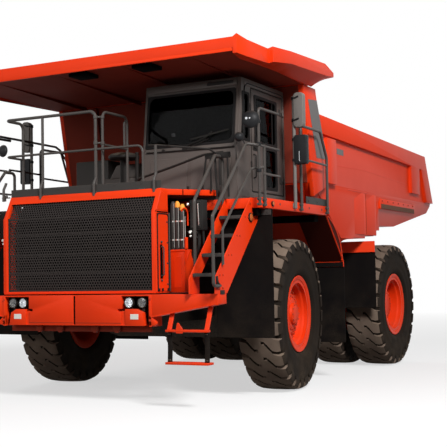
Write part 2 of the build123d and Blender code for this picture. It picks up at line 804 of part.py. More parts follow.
def front_station(z, inset=0.0):
    """Station of the cab's raked front face at a height."""
    share = (z - deck_top_z) / (cab_top_z - deck_top_z)
    return cab_front_bottom + share * (cab_front_top - cab_front_bottom) + inset


def cab_shell():
    body = side_prism(cab_profile(0), cab_inner_x, cab_outer_x)
    body -= side_prism(cab_profile(cab_wall), cab_inner_x + cab_wall, cab_outer_x - cab_wall)
    body -= block((cab_inner_x + window_margin, cab_outer_x - window_margin - 25), (at(cab_front_bottom - 50), at(cab_front_top + 120)), windshield_z)
    body -= block((cab_outer_x - 100, cab_outer_x + 20), (at(door_stations[0]), at(door_stations[1])), door_z)
    quarter = side_prism((
        (front_station(quarter_z[0]) + 70, quarter_z[0]), (quarter_stations[1], quarter_z[0]),
        (quarter_stations[1], quarter_z[1]), (front_station(quarter_z[1]) + 70, quarter_z[1])),
        cab_outer_x - 100, cab_outer_x + 20)
    body -= quarter
    body -= block((cab_inner_x - 20, cab_inner_x + 100), (at(-1000), at(-80)), door_window_z)
    body -= block((cab_inner_x + 150, cab_outer_x - 150), (at(cab_rear - 100), at(cab_rear + 20)), (3600, 4150))
    leaf_x = (cab_outer_x, cab_outer_x + hinge_leaf[0])
    for z in hinge_heights:
        body += block(leaf_x, (at(hinge_station), at(hinge_station + hinge_leaf[1])), (z - hinge_half_height, z))
        body += Pos(hinge_x, at(hinge_station), z - hinge_half_height / 2) * Cylinder(hinge_radius, hinge_half_height)
        body += Pos(hinge_x, at(hinge_station), z) * Cylinder(hinge_pin_radius, 2 * hinge_half_height - 10)
    return body


def cab_glass():
    seat = cab_wall / 2
    f0, f1 = windshield_z
    front = side_prism((
        (front_station(f0, seat), f0), (front_station(f0, seat + glass_thickness), f0),
        (front_station(f1, seat + glass_thickness), f1), (front_station(f1, seat), f1)),
        cab_inner_x + window_margin, cab_outer_x - window_margin - 25)
    side_x = (cab_outer_x - seat - glass_thickness, cab_outer_x - seat)
    quarter = side_prism((
        (front_station(quarter_z[0]) + 70, quarter_z[0]), (quarter_stations[1], quarter_z[0]),
        (quarter_stations[1], quarter_z[1]), (front_station(quarter_z[1]) + 70, quarter_z[1])),
        side_x[0], side_x[1])
    far = block((cab_inner_x + seat, cab_inner_x + seat + glass_thickness), (at(-1000), at(-80)), door_window_z)
    rear = block((cab_inner_x + 150, cab_outer_x - 150), (at(cab_rear - seat - glass_thickness), at(cab_rear - seat)), (3600, 4150))
    return together([front, quarter, far, rear])


def door_solid():
    x = (cab_outer_x - cab_wall, cab_outer_x)
    door = block(x, (at(door_stations[0] + door_gap), at(door_stations[1] - door_gap)), (door_z[0] + door_gap, door_z[1] - door_gap))
    door -= block((x[0] - 5, x[1] + 5), (at(door_window_stations[0]), at(door_window_stations[1])), door_window_z)
    door -= block((x[0] - 5, x[1] + 5), (at(door_low_window_stations[0]), at(door_low_window_stations[1])), door_low_window_z)
    leaf_x = (cab_outer_x - 1, cab_outer_x + hinge_leaf[0])
    for z in hinge_heights:
        top = z + 1 + hinge_half_height
        door += block(leaf_x, (at(hinge_station - hinge_leaf[1]), at(hinge_station)), (z + 1, top))
        door += Pos(hinge_x, at(hinge_station), (z + 1 + top) / 2) * Cylinder(hinge_radius, hinge_half_height)
        door -= Pos(hinge_x, at(hinge_station), z) * Cylinder(hinge_pin_radius + running_gap, 4 * hinge_half_height)
    return door


def door_glass():
    x = (cab_outer_x - cab_wall / 2 - glass_thickness, cab_outer_x - cab_wall / 2)
    upper = block(x, (at(door_window_stations[0]), at(door_window_stations[1])), door_window_z)
    lower = block(x, (at(door_low_window_stations[0]), at(door_low_window_stations[1])), door_low_window_z)
    return together([upper, lower])


def cab_seat():
    x = (900, 1400)
    floor = deck_top_z + cab_floor
    base = block((x[0] + 60, x[1] - 60), (at(-560), at(-160)), (floor, floor + 380))
    cushion = block(x, (at(-650), at(-120)), (floor + 380, floor + 500))
    back = block((x[0] + 20, x[1] - 20), (at(-200), at(-100)), (floor + 500, floor + 1150))
    return fused([base, cushion, back])


def cab_controls():
    """Dashboard with the steering column and wheel."""
    floor = deck_top_z + cab_floor
    dash = side_prism((
        (front_station(floor, cab_wall), floor), (-1150, floor), (-1080, 3330), (front_station(3400, cab_wall), 3400)),
        cab_inner_x + cab_wall + 40, cab_outer_x - cab_wall - 60)
    column = rod((1150, -1120, 3200), (1150, -922, 3490), 28)
    wheel = Plane((1150, at(-925), 3487), z_dir=(0, 190, 280)) * Torus(205, 16)
    spoke = Plane((1150, at(-925), 3487), z_dir=(0, 190, 280)) * Box(400, 40, 14)
    return fused([dash, column, wheel, spoke])


# ================================================================ bed
def headboard_station(z):
    """Station of the headboard's front face at a height above its foot."""
    share = (z - headboard_foot_z) / (headboard_top_z - headboard_foot_z)
    return headboard_foot + share * (headboard_top - headboard_foot)


def headboard_back(z):
    """Station of the headboard's rear face at a height."""
    return headboard_station(z) + headboard_thickness


def flank_inner_x(z):
    """Inner face of the sloping lower side plate at a height."""
    low = floor_half_width - 60
    high = side_outer_x - side_thickness
    return low + (z - headboard_toe_z) / (wall_foot_z - headboard_toe_z) * (high - low)


def floor_under(station):
    """Height of the floor's underside at a station."""
    for (s0, z0), (s1, z1) in zip(bed_lower_edge, bed_lower_edge[1:]):
        if s0 <= station <= s1:
            return z0 + (station - s0) / (s1 - s0) * (z1 - z0)
    return bed_lower_edge[-1][1]


def bed_floor():
    """Floor plate with its two sills, pivot lugs and hoist ears."""
    seat = floor_thickness / 2
    under = list(bed_lower_edge)
    over = [(s, z + floor_thickness) for s, z in reversed(bed_lower_edge)]
    over[-1] = (headboard_toe + 20, headboard_toe_z + floor_thickness)
    low, high = flank_inner_x(headboard_toe_z), flank_inner_x(wall_foot_z)
    across = front_prism((
        (-low, headboard_toe_z), (low, headboard_toe_z), (high, wall_foot_z), (high, wall_foot_z + 100),
        (-high, wall_foot_z + 100), (-high, wall_foot_z)), headboard_foot, wall_rear_foot + 50)
    floor = side_prism(under + over, -high, high) & across
    sill_rear = pivot_station + 150
    sill_top = [(s, floor_under(s) + seat) for s in (sill_rear, 4790.0, 4000.0, 3500.0, 2340.0, 2000.0, 1750.0)]
    sill = side_prism((
        (1750, sill_bottom_z), (pivot_station - 60, sill_bottom_z), (sill_rear, 2330), *sill_top),
        sill_inner_x, sill_outer_x)
    lug_x = (rail_outer_x + lug_gap, rail_outer_x + lug_gap + lug_thickness)
    lug_top = [(s, floor_under(s) + seat) for s in (pivot_station + 200, pivot_station - 250)]
    lug = side_prism((
        (pivot_station - 130, pivot_z - 40), (pivot_station - 60, pivot_z - 110), (pivot_station + 60, pivot_z - 110),
        (pivot_station + 130, pivot_z - 40), *lug_top),
        lug_x[0], lug_x[1])
    lug -= cross_pin(lug_x[0] - 5, lug_x[1] + 5, pivot_station, pivot_z, pivot_radius + running_gap)
    lug += block((sill_inner_x + 10, lug_x[1]), (at(pivot_station - 200), at(pivot_station + 140)), (2150, 2300))
    ears = []
    for out in (-1, 1):
        face = hoist_x + out * (hoist_eye_width / 2 + ear_gap)
        back = face + out * ear_thickness
        ear_top = [(s, floor_under(s) + seat) for s in (hoist_head_station + 160, hoist_head_station - 160)]
        ears.append(side_prism((
            (hoist_head_station - 90, hoist_head_z - 60), (hoist_head_station + 90, hoist_head_z - 60),
            *ear_top), min(face, back), max(face, back)))
        ears.append(cross_pin(face + out, back + out * 30, hoist_head_station, hoist_head_z, hoist_pin_radius))
    side = fused([sill, lug, *ears])
    return fused([floor, side, mirror(side, about=Plane.YZ)])


def gusset_rear(z):
    """Station of the rear edge of the headboard's side gusset at a height."""
    foot = headboard_foot + gusset_depth + 75
    top = headboard_top + gusset_depth - 75
    return foot + (z - headboard_foot_z) / (headboard_top_z - headboard_foot_z) * (top - foot)


def bed_side_walls():
    """Side walls with box top rails, over the sloping lower side plates."""
    wall = side_prism((
        (headboard_back(wall_foot_z), wall_foot_z), (wall_rear_foot, wall_foot_z),
        (wall_rear_top, wall_top_rear_z), (headboard_back(wall_top_front_z), wall_top_front_z)),
        side_outer_x - side_thickness, side_outer_x)
    low_front, low_rear = wall_top_front_z - rail_box_height, wall_top_rear_z - rail_box_height
    lean = (wall_rear_foot - wall_rear_top) / (wall_top_rear_z - wall_foot_z)
    top_rail = side_prism((
        (gusset_rear(low_front), low_front), (wall_rear_top + rail_box_height * lean, low_rear),
        (wall_rear_top, wall_top_rear_z), (gusset_rear(wall_top_front_z), wall_top_front_z)),
        side_outer_x - 1, bed_half_width)
    inner_rail = side_prism((
        (headboard_back(low_front) + 5, low_front), (wall_rear_top + rail_box_height * lean, low_rear),
        (wall_rear_top, wall_top_rear_z), (headboard_back(wall_top_front_z) + 5, wall_top_front_z)),
        bed_half_width - rail_box_width, side_outer_x - side_thickness + 1)
    foot_low = flank_inner_x(headboard_toe_z)
    foot_high = flank_inner_x(wall_foot_z + 1)
    flank = front_prism((
        (foot_low, headboard_toe_z), (foot_low + side_thickness, headboard_toe_z),
        (foot_high + side_thickness, wall_foot_z + 1), (foot_high, wall_foot_z + 1)),
        headboard_foot, wall_rear_foot + 50)
    edge = [*bed_lower_edge, (wall_rear_foot, wall_foot_z + 1), (headboard_back(wall_foot_z + 1), wall_foot_z + 1),
            (headboard_back(headboard_foot_z), headboard_foot_z), (headboard_foot, headboard_foot_z)]
    flank = flank & side_prism(edge, floor_half_width - 200, side_outer_x)
    return both_sides(fused([wall, top_rail, inner_rail, flank, *wall_uprights(low_front), *lower_ribs()]))


def wall_uprights(rail_low_z):
    """Upright box ribs under the top rail and the sloping post at the wall's rear edge."""
    x = (side_outer_x - 1, bed_half_width)
    ribs = [block(x, (at(front), at(rear)), (low, rail_low_z - 40)) for front, rear, low in wall_ribs]
    ribs.append(side_prism((
        (wall_rear_foot - rear_post_depth - 30, wall_foot_z + 10), (wall_rear_foot - 5, wall_foot_z + 10),
        (wall_rear_top + 2, wall_top_rear_z - 5), (wall_rear_top - rear_post_depth, wall_top_rear_z - 5)), x[0], x[1]))
    return ribs


def lower_ribs():
    """Front panel, folded ribs and rub bar on the sloping lower side, out to one upright face."""
    def wedge(low, high):
        return front_prism((
            (flank_inner_x(low) + 20, low), (bolster_x, low), (bolster_x, high), (flank_inner_x(high) + 20, high)),
            headboard_foot, wall_rear_foot)

    foot = wall_foot_z + 1
    shapes = [wedge(bolster_panel[1][1], foot) & side_prism((
        *bolster_panel, (bolster_panel[2][0], foot), (bolster_panel[0][0], foot)), floor_half_width - 200, side_outer_x)]
    for front, rear, low in bolsters:
        shapes.append(wedge(low, foot) & side_prism((
            (front - 1, low), (rear, low), (rear, foot), (front - 1, foot)), floor_half_width - 200, side_outer_x))
    front, rear, low, high = rub_bar
    shapes.append(block((flank_inner_x(low) + 40, side_outer_x - 10), (at(front - 1), at(rear)), (low, high)))
    return shapes


def bed_headboard():
    """Raked front wall with its deep side gussets, and the wall down to the floor."""
    t = headboard_thickness
    upper = side_prism((
        (headboard_foot, headboard_foot_z), (headboard_foot + t, headboard_foot_z),
        (headboard_top + t, headboard_top_z), (headboard_top, headboard_top_z)),
        -side_outer_x, side_outer_x)
    lower = side_prism((
        (headboard_toe, headboard_toe_z), (headboard_toe + 20, headboard_toe_z + floor_thickness),
        (headboard_foot + t, headboard_foot_z), (headboard_foot, headboard_foot_z)),
        -side_outer_x, side_outer_x)
    low = flank_inner_x(headboard_toe_z) - running_gap
    high = flank_inner_x(headboard_foot_z) - running_gap
    inside = front_prism((
        (-low, headboard_toe_z), (low, headboard_toe_z), (high, headboard_foot_z), (-high, headboard_foot_z)),
        headboard_top, headboard_toe + 100)
    gusset = side_prism((
        (headboard_station(gusset_foot_z), gusset_foot_z), (gusset_rear(headboard_foot_z), headboard_foot_z),
        (gusset_rear(headboard_top_z), headboard_top_z), (headboard_top, headboard_top_z)),
        side_outer_x, gusset_x)
    return fused([upper, lower & inside, gusset, mirror(gusset, about=Plane.YZ)])


def wing_side(station):
    """Half width of the canopy's plate at a station."""
    share = (station - canopy_front) / (canopy_rear - canopy_front)
    return canopy_half_front + share * (gusset_x - canopy_half_front)


def wing_body(rows, lip_x):
    """Straight-sided wing through its sections, from the canopy's plate out to its lip."""
    sections = []
    for station, root_low, lip_low, lip_top, root_top in rows:
        root = min(wing_side(station), gusset_x + 95)
        lip = lip_x - (45 if station == canopy_front else 0)
        corners = ((root, root_low), (lip, lip_low), (lip, lip_top), (root, root_top))
        sections.append(Plane.XZ.offset(-at(station)) * Polygon(*corners, align=None))
    return loft(sections, ruled=True)


def bed_canopy():
    """Canopy over the cab with its flared side wings."""
    deck = side_prism((
        (canopy_front, canopy_bottom_z), (headboard_top, headboard_top_z), (headboard_back(headboard_top_z), headboard_top_z),
        (headboard_back(headboard_top_z) + 40, canopy_bottom_z + 70), (canopy_front, canopy_front_top_z)),
        -canopy_half_front, canopy_half_front)
    rear = headboard_top + 200
    plan = plan_prism((
        (-canopy_half_front, canopy_front), (canopy_half_front, canopy_front),
        (wing_side(rear), rear), (-wing_side(rear), rear)), headboard_top_z - 10, canopy_front_top_z + 10)
    wings = [wing_body(wing_front, wing_lip_x), wing_body(wing_rear, wing_step_x)]
    return fused([deck & plan, *wings, *[mirror(wing, about=Plane.YZ) for wing in wings]])


# ================================================================ hoist
def hoist_direction():
    rise = hoist_head_z - hoist_foot_z
    run = hoist_head_station - hoist_foot_station
    length = hypot(rise, run)
    return run / length, rise / length, length


def on_hoist(distance, x):
    """Point on the hoist's centre line at a distance from its foot pin."""
    run, rise, _ = hoist_direction()
    return (x, hoist_foot_station + run * distance, hoist_foot_z + rise * distance)


def hoist_barrel(side):
    x = side * hoist_x
    length = hoist_direction()[2]
    half = hoist_eye_width / 2
    body = rod(on_hoist(hoist_eye_radius - 30, x), on_hoist(length - hoist_barrel_end, x), hoist_barrel_radius)
    body += cross_pin(x - half, x + half, hoist_foot_station, hoist_foot_z, hoist_eye_radius)
    body -= cross_pin(x - half - 60, x + half + 60, hoist_foot_station, hoist_foot_z, hoist_pin_radius + running_gap)
    body -= rod(on_hoist(hoist_eye_radius + 60, x), on_hoist(length, x), hoist_rod_radius + running_gap)
    return body


def hoist_rod(side):
    x = side * hoist_x
    length = hoist_direction()[2]
    half = hoist_eye_width / 2
    body = rod(on_hoist(hoist_eye_radius + 70, x), on_hoist(length - hoist_eye_radius + 30, x), hoist_rod_radius)
    body += cross_pin(x - half, x + half, hoist_head_station, hoist_head_z, hoist_eye_radius)
    return body


# ================================================================ flaps, fenders, tanks
def hanging_flap(x, station, z):
    return block(x, (at(station), at(station + flap_thickness)), z)


def mud_flaps():
    flaps = [
        hanging_flap(front_flap_x, front_flap_station, front_flap_z),
        hanging_flap(rear_flap_x, fender_foot_station + fender_thickness, rear_flap_z),
        hanging_flap(twin_flap_x, twin_flap_station + bracket_thickness, twin_flap_z),
    ]
    return both_sides(together(flaps))


def fender_guards():
    """Sloping guard behind each front wheel, and the flap carriers ahead of the rear wheels."""
    t = fender_thickness
    top_z = deck_top_z - deck_edge_height
    slope = side_prism((
        (deck_rear - t, top_z), (fender_foot_station, fender_foot_z), (fender_foot_station, fender_foot_z - fender_lip),
        (fender_foot_station + t, fender_foot_z - fender_lip), (fender_foot_station + t, fender_foot_z), (deck_rear, top_z)),
        fender_inner_x, deck_half_width)
    carrier = block(twin_flap_x, (at(twin_flap_station), at(twin_flap_station + bracket_thickness)), bracket_z)
    arm_y = (at(twin_flap_station - 60), at(twin_flap_station + bracket_thickness))
    carrier += block((rail_outer_x, twin_flap_x[0] + 10), arm_y, (rail_bottom_z + 300, bracket_z[1]))
    return together([both_sides(slope), both_sides(carrier)])


def side_tanks():
    """Fuel tank on the left and hydraulic tank on the right, on the rails."""
    tank = block((rail_outer_x, tank_outer_x), (at(tank_stations[0]), at(tank_stations[1])), tank_z)
    return both_sides(tank)


def mirrors():
    """Tall mirror over a low one on a post at each deck side."""
    mirror_arm_x = deck_half_width + mirror_post_radius + running_gap
    post = rod((mirror_arm_x, mirror_station, deck_top_z - 100), (mirror_arm_x, mirror_station, mirror_z[1] - 20), mirror_post_radius)
    y = (at(mirror_station - mirror_depth / 2), at(mirror_station + mirror_depth / 2))
    arm = rod((mirror_arm_x, mirror_station, mirror_z[1] - 80), (mirror_x[0] + 20, mirror_station, mirror_z[1] - 80), 14)
    arm2 = rod((mirror_arm_x, mirror_station, mirror_z[0] + 80), (mirror_x[0] + 20, mirror_station, mirror_z[0] + 80), 14)
    arm3 = rod((mirror_arm_x, mirror_station, low_mirror_z[1] - 80), (mirror_x[0] + 20, mirror_station, low_mirror_z[1] - 80), 14)
    tall = block(mirror_x, y, mirror_z)
    low = block(low_mirror_x, y, low_mirror_z)
    return both_sides(fused([post, arm, arm2, arm3, tall, low]))


def side_cylinders():
    """Pairs of upright bottles in the housing's side bays, on their box."""
    chest_y = (at(chest_stations[0]), at(chest_stations[1]))
    chest = block(bottle_chest_x, chest_y, (housing_bottom_z, chest_top_z))
    bottles = []
    for x in bottle_xs:
        bottles.append(rod((x, bottle_station, chest_top_z - 1), (x, bottle_station, bottle_top_z), bottle_radius))
    foot_y = (chest_y[0] + 30, chest_y[1] - 60)
    foot = block((rail_outer_x, bottle_chest_x[0] + 60), foot_y, (housing_bottom_z, housing_bottom_z + 60))
    return both_sides(fused([chest, foot, *bottles]))


def marker_lamps():
    lamp = rod((stair_outer_x, amber_station, amber_z), (stair_outer_x + 35, amber_station, amber_z), amber_radius)
    return both_sides(lamp)


def deck_boxes():
    """Service boxes beside the cab on the deck."""
    grey = block(grey_box_x, (at(grey_box_stations[0]), at(grey_box_stations[1])), (deck_top_z, grey_box_top_z))
    dark = block(dark_box_x, (at(dark_box_stations[0]), at(dark_box_stations[1])), (deck_top_z, dark_box_top_z))
    return together([grey, dark])


# ================================================================ write the files
make_wheels()
save("chassis_frame", chassis_frame())
save("front_axle_beam", front_axle_beam())
save("rear_axle", rear_axle())
save("deck_supports", deck_supports())
save("engine_and_radiator", engine_and_radiator())
save("front_housing", front_housing())
save("radiator_grille", radiator_grille())
save("front_bumper", front_bumper())
save("headlamps", headlamps())
save("upper_deck", upper_deck())
save("deck_kick_plates", deck_kick_plates())
save("access_stairs", together([access_stair(1), access_stair(-1)]))
save("hung_steps", together([hung_step(1), hung_step(-1)]))
save("handrails", handrails())
save("cab_shell", cab_shell())
save("cab_glass", cab_glass())
save("cab_seat", cab_seat())
save("cab_controls", cab_controls())
save("cab_door", door_solid())
save("door_glass", door_glass())
save("bed_floor", bed_floor())
save("bed_side_walls", bed_side_walls())
save("bed_headboard", bed_headboard())
save("bed_canopy", bed_canopy())
for side_name, side_sign in (("left", 1), ("right", -1)):
    save(f"hoist_barrel_{side_name}", hoist_barrel(side_sign))
    save(f"hoist_rod_{side_name}", hoist_rod(side_sign))
save("mud_flaps", mud_flaps())
save("fender_guards", fender_guards())
save("side_tanks", side_tanks())
save("mirrors", mirrors())
save("side_cylinders", side_cylinders())
save("marker_lamps", marker_lamps())
save("deck_boxes", deck_boxes())
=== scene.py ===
import json
import math

import bmesh
import bpy
from mathutils import Matrix, Vector
from mathutils.bvhtree import BVHTree


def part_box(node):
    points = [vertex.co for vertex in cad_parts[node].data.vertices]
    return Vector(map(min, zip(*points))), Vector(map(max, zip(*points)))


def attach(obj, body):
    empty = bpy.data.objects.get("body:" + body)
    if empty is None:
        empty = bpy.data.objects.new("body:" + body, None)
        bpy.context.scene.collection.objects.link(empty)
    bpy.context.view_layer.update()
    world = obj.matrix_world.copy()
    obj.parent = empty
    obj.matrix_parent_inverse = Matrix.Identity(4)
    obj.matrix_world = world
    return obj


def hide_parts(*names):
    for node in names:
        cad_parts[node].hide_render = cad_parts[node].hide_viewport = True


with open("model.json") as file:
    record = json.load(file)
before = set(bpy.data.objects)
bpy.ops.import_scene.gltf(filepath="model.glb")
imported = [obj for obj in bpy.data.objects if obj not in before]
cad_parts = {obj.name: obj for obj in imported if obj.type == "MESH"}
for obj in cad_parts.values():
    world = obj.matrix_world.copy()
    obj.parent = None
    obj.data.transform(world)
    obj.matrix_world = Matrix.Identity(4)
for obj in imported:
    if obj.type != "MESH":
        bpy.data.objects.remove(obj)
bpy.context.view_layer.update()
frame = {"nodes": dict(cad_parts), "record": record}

# Metres. +Z is up, the truck faces -Y and +X is its left side.
# Shapes are drawn with y measured rearwards from the front axle, and a piece is moved to the
# truck's own frame when it is finished.


# ---------------------------------------------------------------- places read from the frame
def joint(name):
    """A joint of the record."""
    for entry in frame["record"]["behaviour"]["joints"]:
        if entry["name"] == name:
            return entry
    raise KeyError(name)


SIDES = (("left", 1), ("right", -1))
AXLE_Y = joint("steering")["pos_m"][1]


def joint_place(name):
    """Where a joint turns, in the drawing frame."""
    return Vector(joint(name)["pos_m"]) - Vector((0, AXLE_Y, 0))


def joint_axis(name):
    return Vector(joint(name)["axis"]).normalized()


def packed_box(node):
    """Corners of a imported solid's box, in the drawing frame."""
    return [Vector(corner) - Vector((0, AXLE_Y, 0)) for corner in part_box(node)]


def body_of(node):
    """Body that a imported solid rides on."""
    for name, nodes in frame["record"]["behaviour"]["bodies"].items():
        if node in nodes:
            return name
    raise KeyError(node)


# ---------------------------------------------------------------- shapes
ACROSS = {"x": (1, 2, 0), "y": (0, 2, 1), "z": (0, 1, 2)}
UP, AHEAD, LEFT, RIGHT = (0, 0, 1), (0, -1, 0), (1, 0, 0), (-1, 0, 0)


def skin(rows, rows_close=False, ends_meet=True, capped=False):
    """Faces spanned over rows of points. A row of one point is a tip."""
    bm = bmesh.new()
    rings = [[bm.verts.new(point) for point in row] for row in rows]
    if capped:
        bm.faces.new(rings[0])
        bm.faces.new(rings[-1][::-1])
    count = max(len(ring) for ring in rings)
    pairs = list(zip(rings, rings[1:] + rings[:1] if rows_close else rings[1:]))
    for lower, upper in pairs:
        for i in range(count if ends_meet else count - 1):
            j = (i + 1) % count
            near, far = ([ring[k % len(ring)] for k in (i, j)] for ring in (lower, upper))
            unique = list(dict.fromkeys((*near, *far[::-1])))
            if len(unique) > 2:
                bm.faces.new(unique)
    bmesh.ops.recalc_face_normals(bm, faces=bm.faces)
    return bm


def lifted(outline, axis, level):
    """Outline set across an axis at a level."""
    points = []
    for u, v in outline:
        place = [0.0, 0.0, 0.0]
        for k, value in zip(ACROSS[axis], (u, v, level)):
            place[k] = value
        points.append(place)
    return points


def prism(outline, axis, low, high):
    """Straight solid with an outline across one axis."""
    return skin([lifted(outline, axis, low), lifted(outline, axis, high)], capped=True)


def hoop(outer, inner, axis, low, high):
    """Flat ring between two outlines that have as many points."""
    levels = ((outer, low), (outer, high), (inner, high), (inner, low))
    return skin([lifted(outline, axis, level) for outline, level in levels], rows_close=True)


def rounded(outline, radius, steps=5):
    """Outline with each corner turned by an arc."""
    points = []
    count = len(outline)
    for i in range(count):
        before, corner, after = (Vector(outline[(i + k) % count]) for k in (-1, 0, 1))
        a, b = before - corner, after - corner
        room = 0.45 * min(a.length, b.length)
        a.normalize()
        b.normalize()
        half = a.angle(b) / 2
        reach = min(radius / math.tan(half), room)
        centre = corner + (a + b).normalized() * (reach / math.cos(half))
        start, end = corner + a * reach - centre, corner + b * reach - centre
        turn = math.atan2(start.x * end.y - start.y * end.x, start.dot(end))
        for k in range(steps + 1):
            c, s = math.cos(turn * k / steps), math.sin(turn * k / steps)
            points.append((centre.x + start.x * c - start.y * s, centre.y + start.x * s + start.y * c))
    return points


def grown_outline(outline, by):
    """Outline moved outwards, or inwards when the step is negative."""
    count = len(outline)
    points = []
    for i in range(count):
        before, corner, after = (Vector(outline[(i + k) % count]) for k in (-1, 0, 1))
        a, b = (before - corner).normalized(), (after - corner).normalized()
        half = a.angle(b) / 2
        points.append(tuple(corner - (a + b).normalized() * (by / math.sin(half))))
    return points


def rectangle(low, high):
    return [(low[0], low[1]), (high[0], low[1]), (high[0], high[1]), (low[0], high[1])]


def gasket(outline, axis, low, high, over=0.014, inside=0.02, radius=0.055):
    """Rubber ring that rounds the corners of a window's opening."""
    return hoop(rounded(grown_outline(outline, over), 0.025),
                rounded(grown_outline(outline, -inside), radius), axis, low, high)


def block(low, high):
    low, high = Vector(low), Vector(high)
    bm = bmesh.new()
    bmesh.ops.create_cube(bm, size=1.0)
    bmesh.ops.scale(bm, vec=high - low, verts=bm.verts)
    bmesh.ops.translate(bm, vec=(low + high) / 2, verts=bm.verts)
    return bm


def facing(centre, direction):
    """Matrix that sets a shape's +Z along a direction."""
    return Matrix.Translation(Vector(centre)) @ Vector(direction).to_track_quat("Z", "Y").to_matrix().to_4x4()


def rod(start, end, radius, sides=20, far_radius=None):
    """Round bar between two points, tapered when a far radius is given."""
    start, end = Vector(start), Vector(end)
    bm = bmesh.new()
    bmesh.ops.create_cone(bm, cap_ends=True, segments=sides, radius1=radius, radius2=far_radius or radius,
                          depth=(end - start).length)
    return moved(bm, facing((start + end) / 2, end - start))


def ball(centre, radius, sides=20):
    bm = bmesh.new()
    bmesh.ops.create_uvsphere(bm, u_segments=sides, v_segments=max(8, sides // 2), radius=radius)
    bmesh.ops.translate(bm, vec=centre, verts=bm.verts)
    return bm


def spun(radius, angle, along):
    return (radius * math.cos(angle), radius * math.sin(angle), along)


def lathe(profile, centre, direction, sides=64):
    """Turned shape: (radius, distance along the direction) points spun round it."""
    rows = []
    for radius, along in profile:
        count = 1 if radius < 1e-6 else sides
        rows.append([spun(radius, 2 * math.pi * i / sides, along) for i in range(count)])
    return moved(skin(rows, rows_close=True), facing(centre, direction))


def turned(bm, about, axis, degrees):
    """Turns a shape about a line through a point."""
    matrix = Matrix.Translation(Vector(about)) @ Matrix.Rotation(math.radians(degrees), 4, Vector(axis))
    return moved(bm, matrix @ Matrix.Translation(-Vector(about)))


def mirrored(bm):
    """The same shape on the truck's other side."""
    other = bm.copy()
    bmesh.ops.scale(other, vec=(-1, 1, 1), verts=other.verts)
    bmesh.ops.reverse_faces(other, faces=other.faces)
    return other


def moved(bm, matrix):
    bmesh.ops.transform(bm, matrix=matrix, verts=bm.verts)
    return bm


SHARP_ANGLE = math.radians(28)


def soften(bm, width, steps=1):
    """Rounds the shape's sharp edges and marks the rounded strips as the ones that wear."""
    worn = bm.faces.layers.float.get("worn") or bm.faces.layers.float.new("worn")
    sharp = [e for e in bm.edges if len(e.link_faces) == 2 and e.calc_face_angle(0) > SHARP_ANGLE]
    if width > 0 and sharp:
        made = bmesh.ops.bevel(bm, geom=sharp, offset=width, segments=steps, affect="EDGES", profile=0.5,
                               clamp_overlap=True)
        for face in made["faces"]:
            face[worn] = 1.0
    return bm


def pour(shape, into):
    """Moves a shape's faces into another one."""
    held = bpy.data.meshes.new("held")
    shape.to_mesh(held)
    shape.free()
    into.from_mesh(held)
    bpy.data.meshes.remove(held)


PIECES = []


class Piece:
    """One piece of the truck, gathered from shapes and finished as one object."""

    def __init__(self, name, finish, body="chassis", stands_for=None, smooth_below=32, shift=AXLE_Y):
        self.name, self.finish, self.body, self.stands_for = name, finish, body, stands_for
        self.smooth_below, self.shift = smooth_below, shift
        self.bm = bmesh.new()
        PIECES.append(self)

    def add(self, shape, soft=0.0, steps=1):
        pour(soften(shape, soft, steps), self.bm)

    def pair(self, shape, soft=0.0, steps=1):
        """Adds a shape and its mirror image."""
        other = mirrored(soften(shape, soft, steps))
        pour(shape, self.bm)
        pour(other, self.bm)

    def done(self):
        """Makes the object, shades it, hangs it on its body and hides the solid that it stands for."""
        mesh = bpy.data.meshes.new(self.name)
        bmesh.ops.translate(self.bm, vec=(0, self.shift, 0), verts=self.bm.verts)
        self.bm.to_mesh(mesh)
        self.bm.free()
        for polygon in mesh.polygons:
            polygon.use_smooth = True
        mesh.set_sharp_from_angle(angle=math.radians(self.smooth_below))
        mesh.materials.append(self.finish)
        made = bpy.data.objects.new(self.name, mesh)
        bpy.context.scene.collection.objects.link(made)
        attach(made, self.body)
        if self.stands_for:
            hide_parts(self.stands_for)


WELD_DISTANCE, FLAT_ANGLE = 0.00005, math.radians(1.0)


def softened_nodes(nodes):
    """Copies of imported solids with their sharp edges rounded: (node, finish, width, steps) each."""
    for node, finish, width, steps in nodes:
        bm = bmesh.new()
        bm.from_mesh(frame["nodes"][node].data)
        bmesh.ops.remove_doubles(bm, verts=bm.verts, dist=WELD_DISTANCE)
        bmesh.ops.dissolve_limit(bm, angle_limit=FLAT_ANGLE, verts=bm.verts, edges=bm.edges)
        Piece(node + "_plate", finish, body_of(node), node, shift=0.0).add(bm, width, steps)


# ---------------------------------------------------------------- node trees
def add_node(tree, kind, inputs=None, **settings):
    """New node. Each input is given as a constant or as another node's output."""
    node = tree.nodes.new(kind)
    for name, value in settings.items():
        setattr(node, name, value)
    for label, value in (inputs or {}).items():
        if isinstance(value, bpy.types.NodeSocket):
            tree.links.new(value, node.inputs[label])
        else:
            node.inputs[label].default_value = value
    return node


def new_tree(kind, name, inputs, outputs):
    """Empty node group, with the sockets that it is given and those that it returns."""
    tree = bpy.data.node_groups.new(name, kind)
    for label, socket_kind, value in inputs:
        socket = tree.interface.new_socket(label, in_out="INPUT", socket_type="NodeSocket" + socket_kind)
        if value is not None:
            socket.default_value = value
    for label, socket_kind in outputs:
        tree.interface.new_socket(label, in_out="OUTPUT", socket_type="NodeSocket" + socket_kind)
    return tree, tree.nodes.new("NodeGroupInput").outputs, tree.nodes.new("NodeGroupOutput").inputs


def math_node(tree, operation, first, second=0.0, clamp=False):
    node = add_node(tree, "ShaderNodeMath", {0: first, 1: second}, operation=operation, use_clamp=clamp)
    return node.outputs[0]


def noise_node(tree, vector, scale, detail=3.0, roughness=0.55):
    given = {"Vector": vector, "Scale": scale, "Detail": detail, "Roughness": roughness}
    return add_node(tree, "ShaderNodeTexNoise", given).outputs["Fac"]


